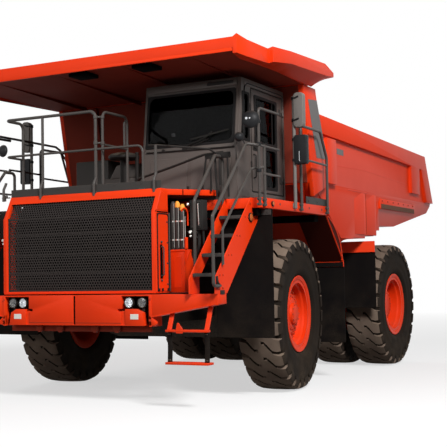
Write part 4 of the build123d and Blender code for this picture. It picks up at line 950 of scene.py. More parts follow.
def make_grille():
    """Perforated sheet in its frame, with a near-black sheet behind it as painted shade."""
    pitch, web, depth = 0.04, 0.013, 0.005
    columns = int((grille_high.x - grille_low.x - 0.03) / pitch)
    tall = slope_z - grille_low.z + (grille_high.z - slope_z) / math.cos(slope_turn) - 0.035
    rows = int(tall / (pitch * math.sqrt(3) / 2))
    cell = hex_cell(pitch, web, depth)
    sheet = copies(SHEET, cell, Finish=mesh_black, Count=columns * rows, Columns=columns, Pitch=pitch)
    start = (-(columns - 1) * pitch / 2, grille_low.y, grille_low.z + 0.035)
    moved(sheet, Matrix.Translation(start))
    lean_back(sheet, grille_low.y)

    piece = Piece("grille_sheet", mesh_black, stands_for="radiator_grille", smooth_below=20)
    piece.add(sheet)
    for x in (grille_low.x + 0.012, grille_high.x - 0.012):
        low, high = (x - 0.012, grille_low.y + 0.004, grille_low.z), (x + 0.012, grille_low.y + 0.02, slope_z)
        piece.add(block(low, high), 0.002)
    strips = ((grille_low.z + 0.012, 0.012), (1.72, 0.006), (1.965, 0.006), (2.24, 0.006),
              (slope_z - 0.02, 0.012))
    for z, half in strips:
        piece.add(block((grille_low.x, grille_low.y + 0.003, z - half),
                        (grille_high.x, grille_low.y + 0.02, z + half)), 0.002)

    # Painted shade behind the grille.
    shade_sheet = Piece("radiator_lining", black_and_shade)
    back = grille_low.y + 0.1
    front = [(back, grille_low.z + 0.01), (back, slope_z), (back + 0.13, grille_high.z - 0.01)]
    behind = [(y + 0.01, z) for y, z in reversed(front)]
    shade_sheet.add(prism(front + behind, "x", grille_low.x + 0.1, grille_high.x - 0.01))


make_grille()


# ---------------------------------------------------------------- bumper and lamps
# drawn straight in the truck's own frame
bumper_low, bumper_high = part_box("front_bumper")
bumper_face = bumper_low.y
bumper_back = bumper_face + 0.26
LAMP_X, LAMP_Z, LAMP_RADIUS = (0.85, 1.035), 1.325, 0.067


def make_bumper():
    low, high = bumper_low.z, bumper_high.z

    plates = Piece("bumper_plates", orange, stands_for="front_bumper", shift=0.0)
    middle = [(0.018, low), (0.735, low), (0.735, 1.212), (0.682, 1.212), (0.682, 1.246), (0.745, 1.246),
              (0.745, high), (0.018, high)]
    plates.pair(prism(middle, "y", bumper_face, bumper_back), 0.005, 2)
    plates.pair(block((0.74, bumper_face, 1.405), (1.155, bumper_back, high)), 0.004)
    guard = [(0.795, low), (1.08, low), (1.052, 1.195), (0.965, 1.243), (0.795, 1.243)]
    plates.pair(prism(guard, "y", bumper_face, bumper_back - 0.04), 0.005, 2)
    plates.pair(block((0.735, bumper_face + 0.014, low), (0.8, bumper_back, 1.218)), 0.003)
    plates.pair(block((1.15, bumper_face, 1.02), (1.19, bumper_back, high)), 0.005, 2)
    lug = [(1.15, 1.032), (1.225, 1.032), (1.255, 1.045), (1.262, 1.07), (1.245, 1.095), (1.15, 1.17)]
    plates.pair(prism(lug, "y", bumper_face, bumper_face + 0.05), 0.006, 2)
    arm = [(1.18, 1.14), (1.18, high), (2.14, high), (2.14, 1.3)]
    plates.pair(prism(arm, "y", bumper_face + 0.006, bumper_back - 0.03), 0.006, 2)
    rim_of_arm = [(1.19, 1.137), (1.19, 1.152), (2.136, 1.313), (2.136, 1.3)]
    plates.pair(prism(rim_of_arm, "y", bumper_face, bumper_face + 0.02), 0.002)
    plates.pair(block((2.028, bumper_face + 0.001, 1.29), (2.139, bumper_face + 0.02, high)), 0.004)
    plates.pair(block((0.006, bumper_face, low), (1.08, bumper_face + 0.03, low + 0.012)), 0.002)

    # Painted shade: near-black sheets at the back of the lamp recesses and in the gap between the middle
    # plates.
    dark = Piece("lamp_recess_lining", black_and_shade, shift=0.0)
    dark.pair(block((0.742, bumper_face + 0.085, low + 0.005), (1.152, bumper_face + 0.1, 1.408)))
    dark.add(block((-0.02, bumper_face + 0.02, low + 0.01), (0.02, bumper_face + 0.026, high - 0.01)))

    # The skirt, its tabs and the thin strip low on the bumper's face are darkened as painted shade under the
    # bumper's lip.
    skirt = Piece("bumper_skirt", skirt_shade_orange, shift=0.0)
    skirt.add(block((-1.12, bumper_face + 0.11, 0.945), (1.12, bumper_face + 0.135, low + 0.02)), 0.004)
    for x in (0.28, 0.62):
        tab = [(x - 0.06, low), (x + 0.06, low), (x + 0.05, 0.97), (x + 0.02, 0.935), (x - 0.02, 0.935),
               (x - 0.05, 0.97)]
        skirt.pair(prism(tab, "y", bumper_face + 0.06, bumper_face + 0.1), 0.006, 2)
    skirt.pair(block((0.02, bumper_face - 0.0006, low + 0.03), (0.733, bumper_face + 0.002, low + 0.037)))

    caps = Piece("bumper_bolts", nut_orange, shift=0.0)
    for z in (1.1, 1.37):
        caps.pair(hex_bolt(0.012, 0.012, (1.17, bumper_face, z), AHEAD))

    blanks = Piece("blank_plates", blank_white, shift=0.0)
    blanks.pair(block((0.874, bumper_face - 0.003, 1.111), (0.996, bumper_face + 0.002, 1.179)), 0.002)


def make_lamps():
    """Round lamps: shell with its bezel, bowl, bulb and lens."""
    r = LAMP_RADIUS
    case = [(0, -0.058), (r * 0.55, -0.056), (r * 0.93, -0.036), (r, -0.01), (r, 0.01), (r * 0.93, 0.013),
            (r * 0.89, 0.006), (r * 0.87, -0.006), (r * 0.55, -0.045), (0, -0.05)]
    dish = [(0, -0.042), (r * 0.5, -0.036), (r * 0.86, 0.001), (r * 0.88, 0.001), (r * 0.54, -0.043),
            (0, -0.048)]
    bulb = [(0, -0.01), (r * 0.17, -0.013), (r * 0.17, -0.04), (0, -0.041)]
    cover = [(0, 0.011), (r * 0.5, 0.009), (r * 0.88, 0.004), (r * 0.88, 0.001), (r * 0.5, 0.005), (0, 0.007)]
    shell = Piece("headlamp_shells", chassis_black, stands_for="headlamps", shift=0.0)
    bright = Piece("headlamp_bowls", chrome, shift=0.0)
    dull = Piece("headlamp_dull_bowls", mirror_grey, shift=0.0)
    glass = Piece("headlamp_glass", lens, shift=0.0)
    for x, depth, bowl in ((LAMP_X[0], 0.012, bright), (LAMP_X[1], 0.03, dull)):
        for side in (1, -1):
            centre = (x * side, bumper_face + depth, LAMP_Z)
            for piece, profile in ((shell, case), (bowl, dish), (bowl, bulb), (glass, cover)):
                piece.add(lathe(profile, centre, AHEAD, 16 if profile is bulb else 32))
        shell.pair(block((x - 0.02, bumper_face + 0.06, LAMP_Z - 0.11),
                         (x + 0.02, bumper_face + 0.07, LAMP_Z - 0.05)), 0.002)


make_bumper()
make_lamps()


# ---------------------------------------------------------------- housing and side bays
def make_housing():
    x = 1.22

    panels = Piece("housing_cheek_panels", orange)
    lower = [(-2.365, 1.465), (-2.125, 1.465), (-2.125, 2.45), (-2.365, 2.45)]
    upper = [(-2.405, 2.5), (-2.125, 2.5), (-2.125, 2.7), (-2.285, 2.752)]
    panels.pair(prism(lower, "x", x - 0.001, x + 0.007), 0.003)
    panels.pair(prism(upper, "x", x - 0.001, x + 0.005), 0.003)
    edge = [(-2.43, 1.45), (-2.405, 1.45), (-2.405, 2.478), (-2.43, 2.478)]
    panels.pair(prism(edge, "x", x - 0.002, x + 0.012), 0.004)

    # Dark seams between the panels; the thin black block by the handle is painted shade in its recess.
    seams = Piece("housing_seams", black_and_shade)
    seams.pair(block((x - 0.002, -2.428, 2.47), (x + 0.003, -2.12, 2.486)))
    seams.pair(block((x - 0.002, -2.402, 1.46), (x + 0.002, -2.368, 2.46)))
    seams.pair(block((x + 0.005, -2.33, 1.62), (x + 0.009, -2.27, 2.06)), 0.002)
    for cut in (0.3, 0.62):
        place = Vector((x + 0.42 * cut, -2.11 + 0.598 * cut, 2.7475))
        cutter = block(place - Vector((0.006, 0.004, 0.038)), place + Vector((0.006, 0.004, 0.0378)))
        seams.pair(turned(cutter, place, UP, 54.9))

    trim = Piece("housing_handles", tube_grey)
    trim.pair(tube([(x + 0.005, -2.3, 1.66), (x + 0.045, -2.3, 1.66), (x + 0.045, -2.3, 2.03),
                    (x + 0.005, -2.3, 2.03)], 0.01, 0.025, 10))
    trim.pair(tube([(x + 0.014, -2.105, 1.46), (x + 0.014, -2.105, 2.47)], 0.012, 0.01, 10))

    edging = Piece("housing_edging", rubber_black)
    edging.pair(tube([(x + 0.008, -2.388, 1.47), (x + 0.008, -2.388, 2.455), (x + 0.008, -2.118, 2.455),
                      (x + 0.008, -2.118, 1.47)], 0.009, 0.05, 10))
    for station in (-2.385, -2.3, -2.16):
        edging.pair(block((x + 0.006, station, 1.462), (x + 0.02, station + 0.035, 1.5)), 0.003)

    pins = Piece("housing_pins", cast_dark)
    for z in (1.6, 2.09):
        pins.pair(ball((x + 0.012, -2.3, z), 0.016, sides=12))
    pins.pair(bolt_row((x + 0.006, -2.15, 1.55), (x + 0.006, -2.15, 2.35), 4, LEFT, 0.009, 0.008))

    # Painted shade: a near-black sheet at the back of the side bay.
    shade_sheet = Piece("side_bay_lining", black_and_shade)
    shade_sheet.pair(block((1.012, -2.1, 1.5), (1.02, -1.52, 2.705)))

    # The bay's ceiling is darkened as painted shade.
    ceiling = Piece("side_bay_ceiling", shaded_orange)
    roof = [(1.012, -2.105), (1.205, -2.105), (1.6, -1.53), (1.012, -1.53)]
    ceiling.pair(prism(roof, "z", 2.7, 2.708))


def make_side_bays():
    chest = Piece("bay_chests", orange, stands_for="side_cylinders")
    chest.pair(block((1.235, -2.09, 1.44), (1.45, -1.8, 1.995)), 0.008, 2)
    chest.pair(block((1.228, -2.097, 1.965), (1.458, -1.793, 1.988)), 0.005)
    chest.pair(block((0.6, -2.06, 1.44), (1.24, -1.86, 1.5)), 0.004)
    chest.pair(prism([(1.448, 1.99), (1.52, 1.99), (1.448, 1.8)], "y", -2.06, -2.048), 0.002)
    chest.pair(block((1.29, -2.096, 1.5), (1.405, -2.088, 1.9)), 0.004)
    chest.pair(rod((1.455, -2.05, 2.0), (1.455, -2.05, 2.15), 0.022, 16), 0.004)
    chest.pair(tube([(1.4, -2.03, 2.42), (1.4, -2.06, 2.5), (1.445, -2.06, 2.56), (1.47, -2.03, 2.47),
                     (1.47, -2.03, 2.3)], 0.01, 0.03, 10))

    bottles = Piece("bay_bottles", cast_dark)
    caps = Piece("bay_bottle_caps", cap_amber)
    bands = Piece("bay_bottle_bands", steel)
    foot_z, station = 1.995, -2.03
    for x, top, capped in ((1.252, 2.62, False), (1.318, 2.56, True), (1.392, 2.52, True)):
        foot, up = (x, station, foot_z), top - foot_z
        bottle = [(0, 0), (0.034, 0), (0.038, 0.012), (0.038, up - 0.05), (0.03, up - 0.02), (0.02, up),
                  (0, up)]
        bottles.pair(lathe(bottle, foot, UP, 24))
        for z in (2.12, 2.36):
            band = [(0.0375, -0.009), (0.041, -0.009), (0.041, 0.009), (0.0375, 0.009)]
            bands.pair(lathe(band, (x, station, z), UP, 24))
        if capped:
            cap = [(0, up - 0.02), (0.033, up - 0.02), (0.036, up), (0.034, up + 0.035), (0.022, up + 0.048),
                   (0.022, up + 0.062), (0, up + 0.064)]
            caps.pair(lathe(cap, foot, UP, 18))
        rail = (x + 0.034, station - 0.036)
        bands.pair(tube([(*rail, 2.02), (*rail, top - 0.03)], 0.0045, 0.01, 8))

    box = Piece("bay_control_box", moulded)
    box.pair(block((1.48, -2.0, 2.24), (1.67, -1.86, 2.63)), 0.01, 2)
    box.pair(block((1.495, -2.012, 2.262), (1.655, -1.998, 2.608)), 0.006)
    # hoses: x at the box, then y and z of the knee, the end, radius, radius of the bend
    for x, knee, end, radius, bend in (
            (1.5, (-1.93, 2.02), (1.42, -1.86, 1.85), 0.018, 0.06),
            (1.58, (-1.93, 2.05), (1.3, -1.75, 1.6), 0.022, 0.1),
            (1.64, (-1.9, 1.95), (1.2, -1.7, 1.7), 0.016, 0.08)):
        box.pair(tube([(x, -1.93, 2.24), (x, *knee), end], radius, bend, 10))

    silver = Piece("bay_fittings", steel)
    silver.pair(tube([(1.628, -2.012, 2.58), (1.628, -2.045, 2.58), (1.64, -2.045, 2.3),
                      (1.628, -2.012, 2.3)], 0.006, 0.02, 8))
    for px, pz in ((1.505, 2.215), (1.575, 2.205)):
        silver.pair(rod((px, -1.99, pz), (px, -2.04, pz), 0.022, 12), 0.003)
        silver.pair(rod((px, -1.99, pz - 0.05), (px, -2.03, pz - 0.05), 0.015, 12), 0.003)
    silver.pair(ball((1.475, -2.03, 2.575), 0.024, sides=12))
    silver.pair(rod((1.44, -2.05, 2.12), (1.44, -2.05, 2.42), 0.006, 8))


make_housing()
make_side_bays()


# ---------------------------------------------------------------- stairs and hung steps
def make_stairs():
    """Treads with their gratings, side plates, foot brackets and bolts of the two flights."""
    inner, outer = 1.78, 2.124
    foot_z, rise = 1.425, (2.66 - 1.425) / 5

    def tread_front(z, level):
        """Front edge of a tread: the flight leans back above a level."""
        return -2.53 + max(0.0, z - level) / 1.02

    treads = Piece("stair_treads", cast_dark)
    for i in range(4):
        z = foot_z + rise * (i + 1)
        front = tread_front(z, 1.62)
        treads.pair(block((inner, front - 0.004, z - 0.034), (outer, front + 0.166, z + 0.004)), 0.003)
        bar = block((-0.004, 0.0, 0.0), (0.004, 0.16, 0.008))
        row = copies(ROW, bar, Finish=cast_dark, Count=15, Step=((outer - inner - 0.03) / 14, 0, 0))
        treads.pair(moved(row, Matrix.Translation((inner + 0.015, front + 0.001, z + 0.003))))

    side_plate = Piece("stair_side_plates", orange)
    outline = [(-2.5, 1.425), (-2.248, 1.427), (-1.2, 2.505), (-1.3, 2.52), (-1.62, 2.44), (-2.5, 1.58)]
    side_plate.pair(prism(outline, "x", 2.126, 2.1395), 0.003)

    feet = Piece("stair_foot_brackets", chassis_black)
    feet.pair(block((2.06, -2.44, 1.418), (2.15, -2.33, 1.47)), 0.006, 2)
    feet.pair(tube([(2.15, -2.54, 1.64), (2.165, -2.545, 1.56), (2.165, -2.47, 1.52)], 0.015, 0.04, 10))

    bolts = Piece("stair_bolts", nut_orange)
    for x in (1.7635, 2.1405):
        direction = LEFT if x > 2 else RIGHT
        for a, b in (((x, -2.5, 1.5), (x, -2.37, 1.5)), ((x, -1.56, 2.58), (x, -1.56, 2.44))):
            bolts.pair(bolt_row(a, b, 2, direction, 0.013, 0.012))
        for i in range(4):
            z = foot_z + rise * (i + 1) - 0.015
            front = tread_front(z, 1.605)
            bolts.pair(bolt_row((x, front + 0.04, z), (x, front + 0.12, z), 2, direction, 0.009, 0.008))


def make_hung_steps():
    """Steps that hang below the bumper's arms on rubber straps."""
    steps = Piece("hung_step_frames", orange, stands_for="hung_steps")
    top, knee, foot = 1.27, 0.99, 0.56
    front = -2.405
    hung = front - 0.12
    for x in (1.425, 1.955):
        outline = [(front, top), (front + 0.028, top), (hung + 0.028, knee), (hung, knee)]
        steps.pair(prism(outline, "x", x, x + 0.06), 0.004)
    steps.pair(block((1.422, hung - 0.035, knee - 0.03), (2.015, hung + 0.055, knee)), 0.006, 2)
    steps.pair(block((1.415, hung - 0.035, foot), (2.02, hung + 0.12, foot + 0.03)), 0.006, 2)
    bracket = [(1.575, knee + 0.01), (1.592, knee + 0.085), (1.615, knee + 0.085), (1.67, knee + 0.01),
               (1.67, knee - 0.045), (1.575, knee - 0.045)]
    steps.pair(prism(bracket, "y", hung - 0.034, hung - 0.022), 0.003)

    straps = Piece("hung_step_straps", flap_sheet, smooth_below=60)
    for x in (1.425, 1.95):
        bm = bmesh.new()
        bmesh.ops.create_grid(bm, x_segments=2, y_segments=10, size=0.5)
        for vert in bm.verts:
            along = 0.5 - vert.co.y
            vert.co = Vector((x + 0.033 + vert.co.x * 0.066, hung + 0.01 + 0.01 * math.sin(along * math.pi),
                              knee - 0.03 - along * (knee - foot - 0.06)))
        back = bmesh.ops.extrude_face_region(bm, geom=list(bm.faces))["geom"]
        verts = [item for item in back if isinstance(item, bmesh.types.BMVert)]
        bmesh.ops.translate(bm, vec=(0, 0.012, 0), verts=verts)
        bmesh.ops.recalc_face_normals(bm, faces=bm.faces)
        straps.pair(bm, 0.002)

    bolts = Piece("hung_step_bolts", cast_dark)
    for x in (1.455, 1.98):
        for z in (knee - 0.055, foot + 0.055):
            start, end = ((x + step, hung + 0.009, z) for step in (-0.012, 0.012))
            bolts.pair(bolt_row(start, end, 2, AHEAD, 0.007, 0.007))


make_stairs()
make_hung_steps()


# ---------------------------------------------------------------- cab
CAB_FACE, CAB_SILL, CAB_RAKE = -1.48, 2.66, 0.21 / 1.665


def raked(bm):
    """Leans a shape drawn at y = 0 back against the cab's front."""
    for vert in bm.verts:
        vert.co.y += CAB_FACE + (vert.co.z - CAB_SILL) * CAB_RAKE
    return bm


def on_face(x, z, out):
    """A place that far ahead of the cab's raked front."""
    return (x, CAB_FACE - out + (z - CAB_SILL) * CAB_RAKE, z)


WINDSHIELD = rectangle((0.455, 3.44), (1.82, 4.17))
QUARTER = rectangle((-1.245, 3.48), (-1.05, 4.13))
DOOR_UPPER = rectangle((-0.87, 3.48), (-0.165, 4.12))
DOOR_LOWER = rectangle((-0.56, 2.86), (-0.175, 3.425))
REAR_WINDOW = rectangle((0.55, 3.6), (1.75, 4.15))
FAR_WINDOW = rectangle((-1.0, 3.48), (-0.08, 4.12))


def make_cab():
    seals = Piece("cab_window_seals", rubber_black)
    seals.add(raked(gasket(WINDSHIELD, "y", -0.01, 0.02, radius=0.09)), 0.003)
    seals.add(gasket(QUARTER, "x", 1.885, 1.908, radius=0.075), 0.003)
    seals.add(gasket(FAR_WINDOW, "x", 0.392, 0.415), 0.003)
    seals.add(gasket(REAR_WINDOW, "y", 0.095, 0.118), 0.003)
    seals.add(tube([(1.903, -1.215, 4.035), (1.903, -1.175, 4.215), (1.903, -1.1, 4.262),
                    (1.903, 0.07, 4.262), (1.903, 0.085, 4.1)], 0.009, 0.06, 8))
    seals.add(gasket([(-0.99, 2.786), (0.048, 2.786), (0.048, 4.218), (-0.99, 4.218)], "x", 1.894, 1.904,
                     over=0.006, inside=0.002, radius=0.03))

    trim = Piece("cab_trim_panels", cab_grey)
    for x in (0.54, 1.2):
        panel = rounded(rectangle((x, 2.79), (x + 0.59, 3.27)), 0.03)
        trim.add(raked(prism(panel, "y", -0.008, 0.002)), 0.003)
    band = rounded([(0.43, 4.215), (1.86, 4.215), (1.845, 4.31), (0.445, 4.31)], 0.02)
    trim.add(raked(prism(band, "y", -0.022, 0.002)), 0.008, 2)
    for low, high in ((1.842, 1.878), (0.412, 0.442)):
        trim.add(raked(block((low, -0.012, 3.395), (high, 0.004, 4.2))), 0.006, 2)
    trim.add(prism(rounded(rectangle((-1.19, 4.225), (0.07, 4.285)), 0.02), "x", 1.897, 1.906), 0.004)
    trim.add(block((0.44, -1.225, 4.318), (1.86, 0.07, 4.34)), 0.01, 2)
    trim.add(block((0.7, -0.95, 4.336), (1.6, -0.25, 4.362)), 0.012, 2)
    trim.add(block((1.897, -1.44, 2.7), (1.905, -1.03, 3.39)), 0.004)
    trim.add(block((1.897, 0.055, 2.72), (1.908, 0.105, 4.23)), 0.005)

    black = Piece("cab_wipers_and_brackets", chassis_black)
    black.add(tube([on_face(1.06, 3.395, 0.012), on_face(1.1, 3.42, 0.03), on_face(1.4, 3.52, 0.03),
                    on_face(1.5, 3.6, 0.026)], 0.009, 0.03, 8))
    black.add(tube([on_face(1.1, 3.395, 0.012), on_face(1.14, 3.4, 0.034), on_face(1.46, 3.5, 0.034)], 0.006,
                   0.03, 8))
    middle = Vector(on_face(1.46, 3.56, 0.024))
    blade = Vector((0.3, 0.006, 0.008))
    black.add(turned(block(middle - blade, middle + blade), middle, (0, 1, 0), -9), 0.003)
    for x in (0.74, 1.06, 1.11):
        black.add(rod(on_face(x, 3.392, -0.01), on_face(x, 3.392, 0.026), 0.02, 16), 0.004)
    black.add(tube([on_face(0.47, 3.375, 0.01), on_face(0.9, 3.372, 0.012), on_face(1.84, 3.368, 0.01)],
                   0.012, 0.03, 8))
    lamp = [(1.385, 4.24), (1.8, 4.246), (1.8, 4.288), (1.4, 4.296)]
    black.add(raked(prism(rounded(lamp, 0.018), "y", -0.027, -0.02)), 0.004, 2)
    for z in (3.1, 3.9):
        black.add(block((1.897, -1.02, z), (1.912, -0.992, z + 0.1)), 0.004)

    # Painted shade: near-black sheets inside the cab, behind its windows and under its roof.
    shade_sheet = Piece("cab_lining", black_and_shade)
    for wall, window, axis, low, high in (
            (rectangle((0.45, 2.73), (1.85, 4.27)), REAR_WINDOW, "y", 0.05, 0.06),
            (rectangle((-1.2, 2.73), (0.05, 4.27)), FAR_WINDOW, "x", 0.447, 0.455)):
        opening = rounded(grown_outline(window, 0.004), 0.06)
        shade_sheet.add(hoop(rounded(wall, 0.04), opening, axis, low, high))
    shade_sheet.add(block((0.455, -1.22, 4.268), (1.85, 0.05, 4.276)))
    shade_sheet.add(raked(block((0.455, 0.052, 2.74), (1.845, 0.06, 3.42))))

    mat = Piece("cab_floor_mat", moulded)
    mat.add(block((0.47, -1.38, 2.7205), (1.84, 0.045, 2.732)), 0.004)
    mat.add(block((1.46, -0.7, 2.73), (1.78, -0.12, 3.16)), 0.03, 2)
    mat.add(block((0.5, -0.62, 2.73), (0.82, -0.1, 3.1)), 0.03, 2)
    mat.add(raked(block((0.62, 0.3, 3.02), (1.66, 0.48, 3.32))), 0.05, 3)
    console = [(-1.3, 3.02), (-0.99, 3.02), (-1.0, 3.36), (-1.1, 3.47), (-1.24, 3.4)]
    mat.add(prism(console, "x", 0.9, 1.42), 0.02, 2)

    seat = Piece("seat_cushions", seat_weave, stands_for="cab_seat", smooth_below=50)
    seat.add(block((0.96, -0.64, 2.722), (1.34, -0.12, 2.9)), 0.03, 2)
    seat.add(block((0.9, -0.65, 2.9), (1.4, -0.115, 3.215)), 0.055, 4)
    seat.add(block((0.91, -0.22, 3.17), (1.39, -0.11, 3.68)), 0.045, 4)
    seat.add(block((1.01, -0.205, 3.69), (1.29, -0.115, 3.868)), 0.04, 4)
    for x in (0.915, 1.335):
        seat.add(block((x, -0.52, 3.255), (x + 0.05, -0.2, 3.305)), 0.018, 3)
    for x in (1.08, 1.22):
        seat.add(rod((x, -0.16, 3.64), (x, -0.16, 3.74), 0.008, 8))


def make_door():
    seals = Piece("door_window_seals", rubber_black, body="cab_door")
    for window in (DOOR_UPPER, DOOR_LOWER):
        seals.add(gasket(window, "x", 1.885, 1.909, over=0.02, inside=0.022, radius=0.07), 0.003)
    seals.add(block((1.886, -0.3, 3.5), (1.902, -0.285, 4.1)), 0.002)

    handle = Piece("door_handles", chassis_black, body="cab_door")
    handle.add(tube([(1.898, -0.93, 2.98), (1.94, -0.93, 2.98), (1.94, -0.93, 3.3), (1.898, -0.93, 3.3)],
                    0.01, 0.03, 10))
    handle.add(prism(rounded(rectangle((-0.945, 3.36), (-0.79, 3.44)), 0.02), "x", 1.899, 1.908), 0.003)
    handle.add(block((1.906, -0.925, 3.385), (1.926, -0.81, 3.412)), 0.006, 2)

    pulls = Piece("door_hinge_leaves", cast_dark, body="cab_door")
    for z in (3.0, 4.0):
        pulls.add(block((1.899, -0.075, z - 0.05), (1.908, 0.02, z + 0.05)), 0.003)
        pulls.add(bolt_row((1.907, -0.055, z - 0.03), (1.907, -0.055, z + 0.03), 2, LEFT, 0.008, 0.007))


make_cab()
make_door()


# ---------------------------------------------------------------- bed
def make_bed_plates():
    ribs = Piece("bed_folded_ribs", orange, body="bed")
    ribs.pair(prism([(1.72, 2.29), (2.103, 2.29), (2.103, 3.036), (1.99, 3.036)], "y", 2.95, 3.425), 0.006)
    for front, rear in ((2.4, 2.935), (2.97, 3.5)):
        fold = [(2.1, front), (2.137, rear - 0.11), (2.137, rear - 0.03), (2.1, rear)]
        ribs.pair(prism(fold, "z", 2.3, 3.005), 0.006, 2)
    ribs.pair(prism([(2.08, 3.004), (3.06, 3.004), (3.0, 3.03), (2.14, 3.03)], "x", 2.09, 2.139), 0.004)
    for front, low, depth in ((1.06, 3.05, 0.385), (5.44, 3.19, 0.54)):
        panel = block((2.136, front + 0.03, low + 0.04), (2.146, front + depth - 0.03, low + 0.56))
        ribs.pair(panel, 0.006, 2)
    crease = [(1.58, 3.352), (2.95, 3.389), (5.44, 3.33), (5.44, 3.338), (2.95, 3.398), (1.58, 3.361)]
    ribs.pair(prism(crease, "x", 2.138, 2.1425))
    ribs.pair(block((2.13, 6.29, 3.93), (2.199, 6.372, 3.972)), 0.008, 2)
    strip = [(2.286, -2.29), (2.299, -2.29), (2.204, 0.34), (2.19, 0.34)]
    ribs.pair(prism(strip, "z", 4.425, 4.476), 0.005, 2)
    ribs.add(block((-2.286, -2.299, 4.43), (2.286, -2.283, 4.476)), 0.005, 2)

    # Painted shade: thin plates of the darker orange on the canopy's underside and on the headboard below it,
    # where the canopy's shadow falls.
    dim = Piece("canopy_underside_lining", canopy_shade_orange, body="bed")
    ceiling = [(-2.285, 4.465), (0.105, 4.421), (0.105, 4.4255), (-2.285, 4.4695)]
    shade_sheet = prism(ceiling, "x", -1.0, 1.0)
    # it narrows rearwards with the canopy
    for vert in shade_sheet.verts:
        vert.co.x *= 2.281 - 0.038 * (vert.co.y + 2.285)
    dim.add(shade_sheet, 0.001)
    under = [(0.142, 4.415), (0.148, 4.415), (0.434, 3.01), (0.428, 3.01)]
    dim.add(prism(under, "x", -2.125, 2.125), 0.002)
    toe = [(0.445, 2.99), (0.452, 2.99), (1.44, 2.105), (1.432, 2.098)]
    dim.add(prism(toe, "x", -1.93, 1.93), 0.002)
    dim.pair(prism([(0.47, 2.99), (0.95, 2.99), (1.43, 2.56), (1.43, 2.12)], "x", 1.925, 1.931))

    # Ribs and posts under the canopy, darkened as painted shade.
    wing = Piece("canopy_wing_lining", shaded_orange, body="bed")
    rib = [(-2.2, 4.466), (0.1, 4.424), (0.1, 4.36), (-0.1, 4.37)]
    for x in (0.55, 1.6):
        wing.pair(prism(rib, "x", x - 0.006, x + 0.006), 0.003)
    post = [(0.148, 4.4), (0.43, 3.02), (0.375, 3.02), (0.093, 4.4)]
    for x in (0.48, 1.45):
        wing.pair(prism(post, "x", x - 0.04, x + 0.04), 0.006)

    stripes = Piece("gusset_blank_stripes", stripe_grey, body="bed")
    panel = [(0.321, 4.228), (0.66, 4.257), (1.017, 3.393), (0.608, 3.386)]
    stripes.pair(prism(panel, "x", 2.203, 2.2085))

    plates = Piece("bed_blank_plates", stripe_grey, body="bed")
    plates.pair(block((2.139, 1.62, 3.545), (2.1425, 1.92, 3.64)), 0.002)

    rub = Piece("bed_rub_boards", rub_wood, body="bed")
    rub.pair(block((2.128, 3.78, 2.795), (2.139, 5.76, 2.88)), 0.004)
    rub.pair(block((2.05, 3.75, 2.974), (2.126, 5.78, 2.979)))

    bolts = Piece("bed_bolts", nut_orange, body="bed")
    for start, end, count in (((2.129, 3.85, 2.935), (2.129, 5.7, 2.935), 7),
                              ((2.1455, 1.12, 3.13), (2.1455, 1.12, 3.55), 3)):
        bolts.pair(bolt_row(start, end, count, LEFT, 0.014, 0.012))

    dark = Piece("bed_rail_shadow_seams", black_and_shade, body="bed")
    dark.pair(block((2.1375, 2.952, 2.31), (2.1385, 2.958, 3.0)))

    worn = Piece("bed_wear_plates", worn_steel, body="bed")
    for i in range(6):
        low = 1.62 + i * 0.8
        ends = [(station, floor_top(station)) for station in (low, low + 0.78)]
        raised = [(station, z + 0.012) for station, z in reversed(ends)]
        worn.add(prism(ends + raised, "x", -1.6, 1.6), 0.003)


def floor_top(station):
    """Height of the load floor's upper face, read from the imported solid."""
    bm = bmesh.new()
    bm.from_mesh(frame["nodes"]["bed_floor"].data)
    above = Vector((0.35, AXLE_Y + station, 4.0))
    place = BVHTree.FromBMesh(bm).ray_cast(above, -Vector(UP))[0]
    bm.free()
    return place.z


make_bed_plates()


# ---------------------------------------------------------------- mirrors and handrail fittings
MIRROR_STATION, POST_X = -0.45, 2.3043
RAIL_X, FRONT_RAIL = 2.3013, -2.235


def mirror_disc(piece, glass, centre, direction, r):
    """Back of a round convex mirror with its rim, and its bright face on the far side."""
    back = [(0, 0.052), (r * 0.45, 0.046), (r * 0.82, 0.026), (r, 0.004), (r * 1.02, -0.008),
            (r * 0.98, -0.014), (r * 0.93, -0.012), (0, -0.006)]
    face = [(0, -0.007), (r * 0.93, -0.012), (r * 0.9, -0.018), (r * 0.5, -0.03), (0, -0.034)]
    piece.add(lathe(back, centre, direction, 28))
    glass.add(lathe(face, centre, direction, 28))


def head(low, high, radius, steps, front, back):
    """Upright plate of a mirror with rounded corners, set from the mirrors' post."""
    outline = rounded(rectangle(low, high), radius, steps)
    return prism(outline, "y", MIRROR_STATION + front, MIRROR_STATION + back)


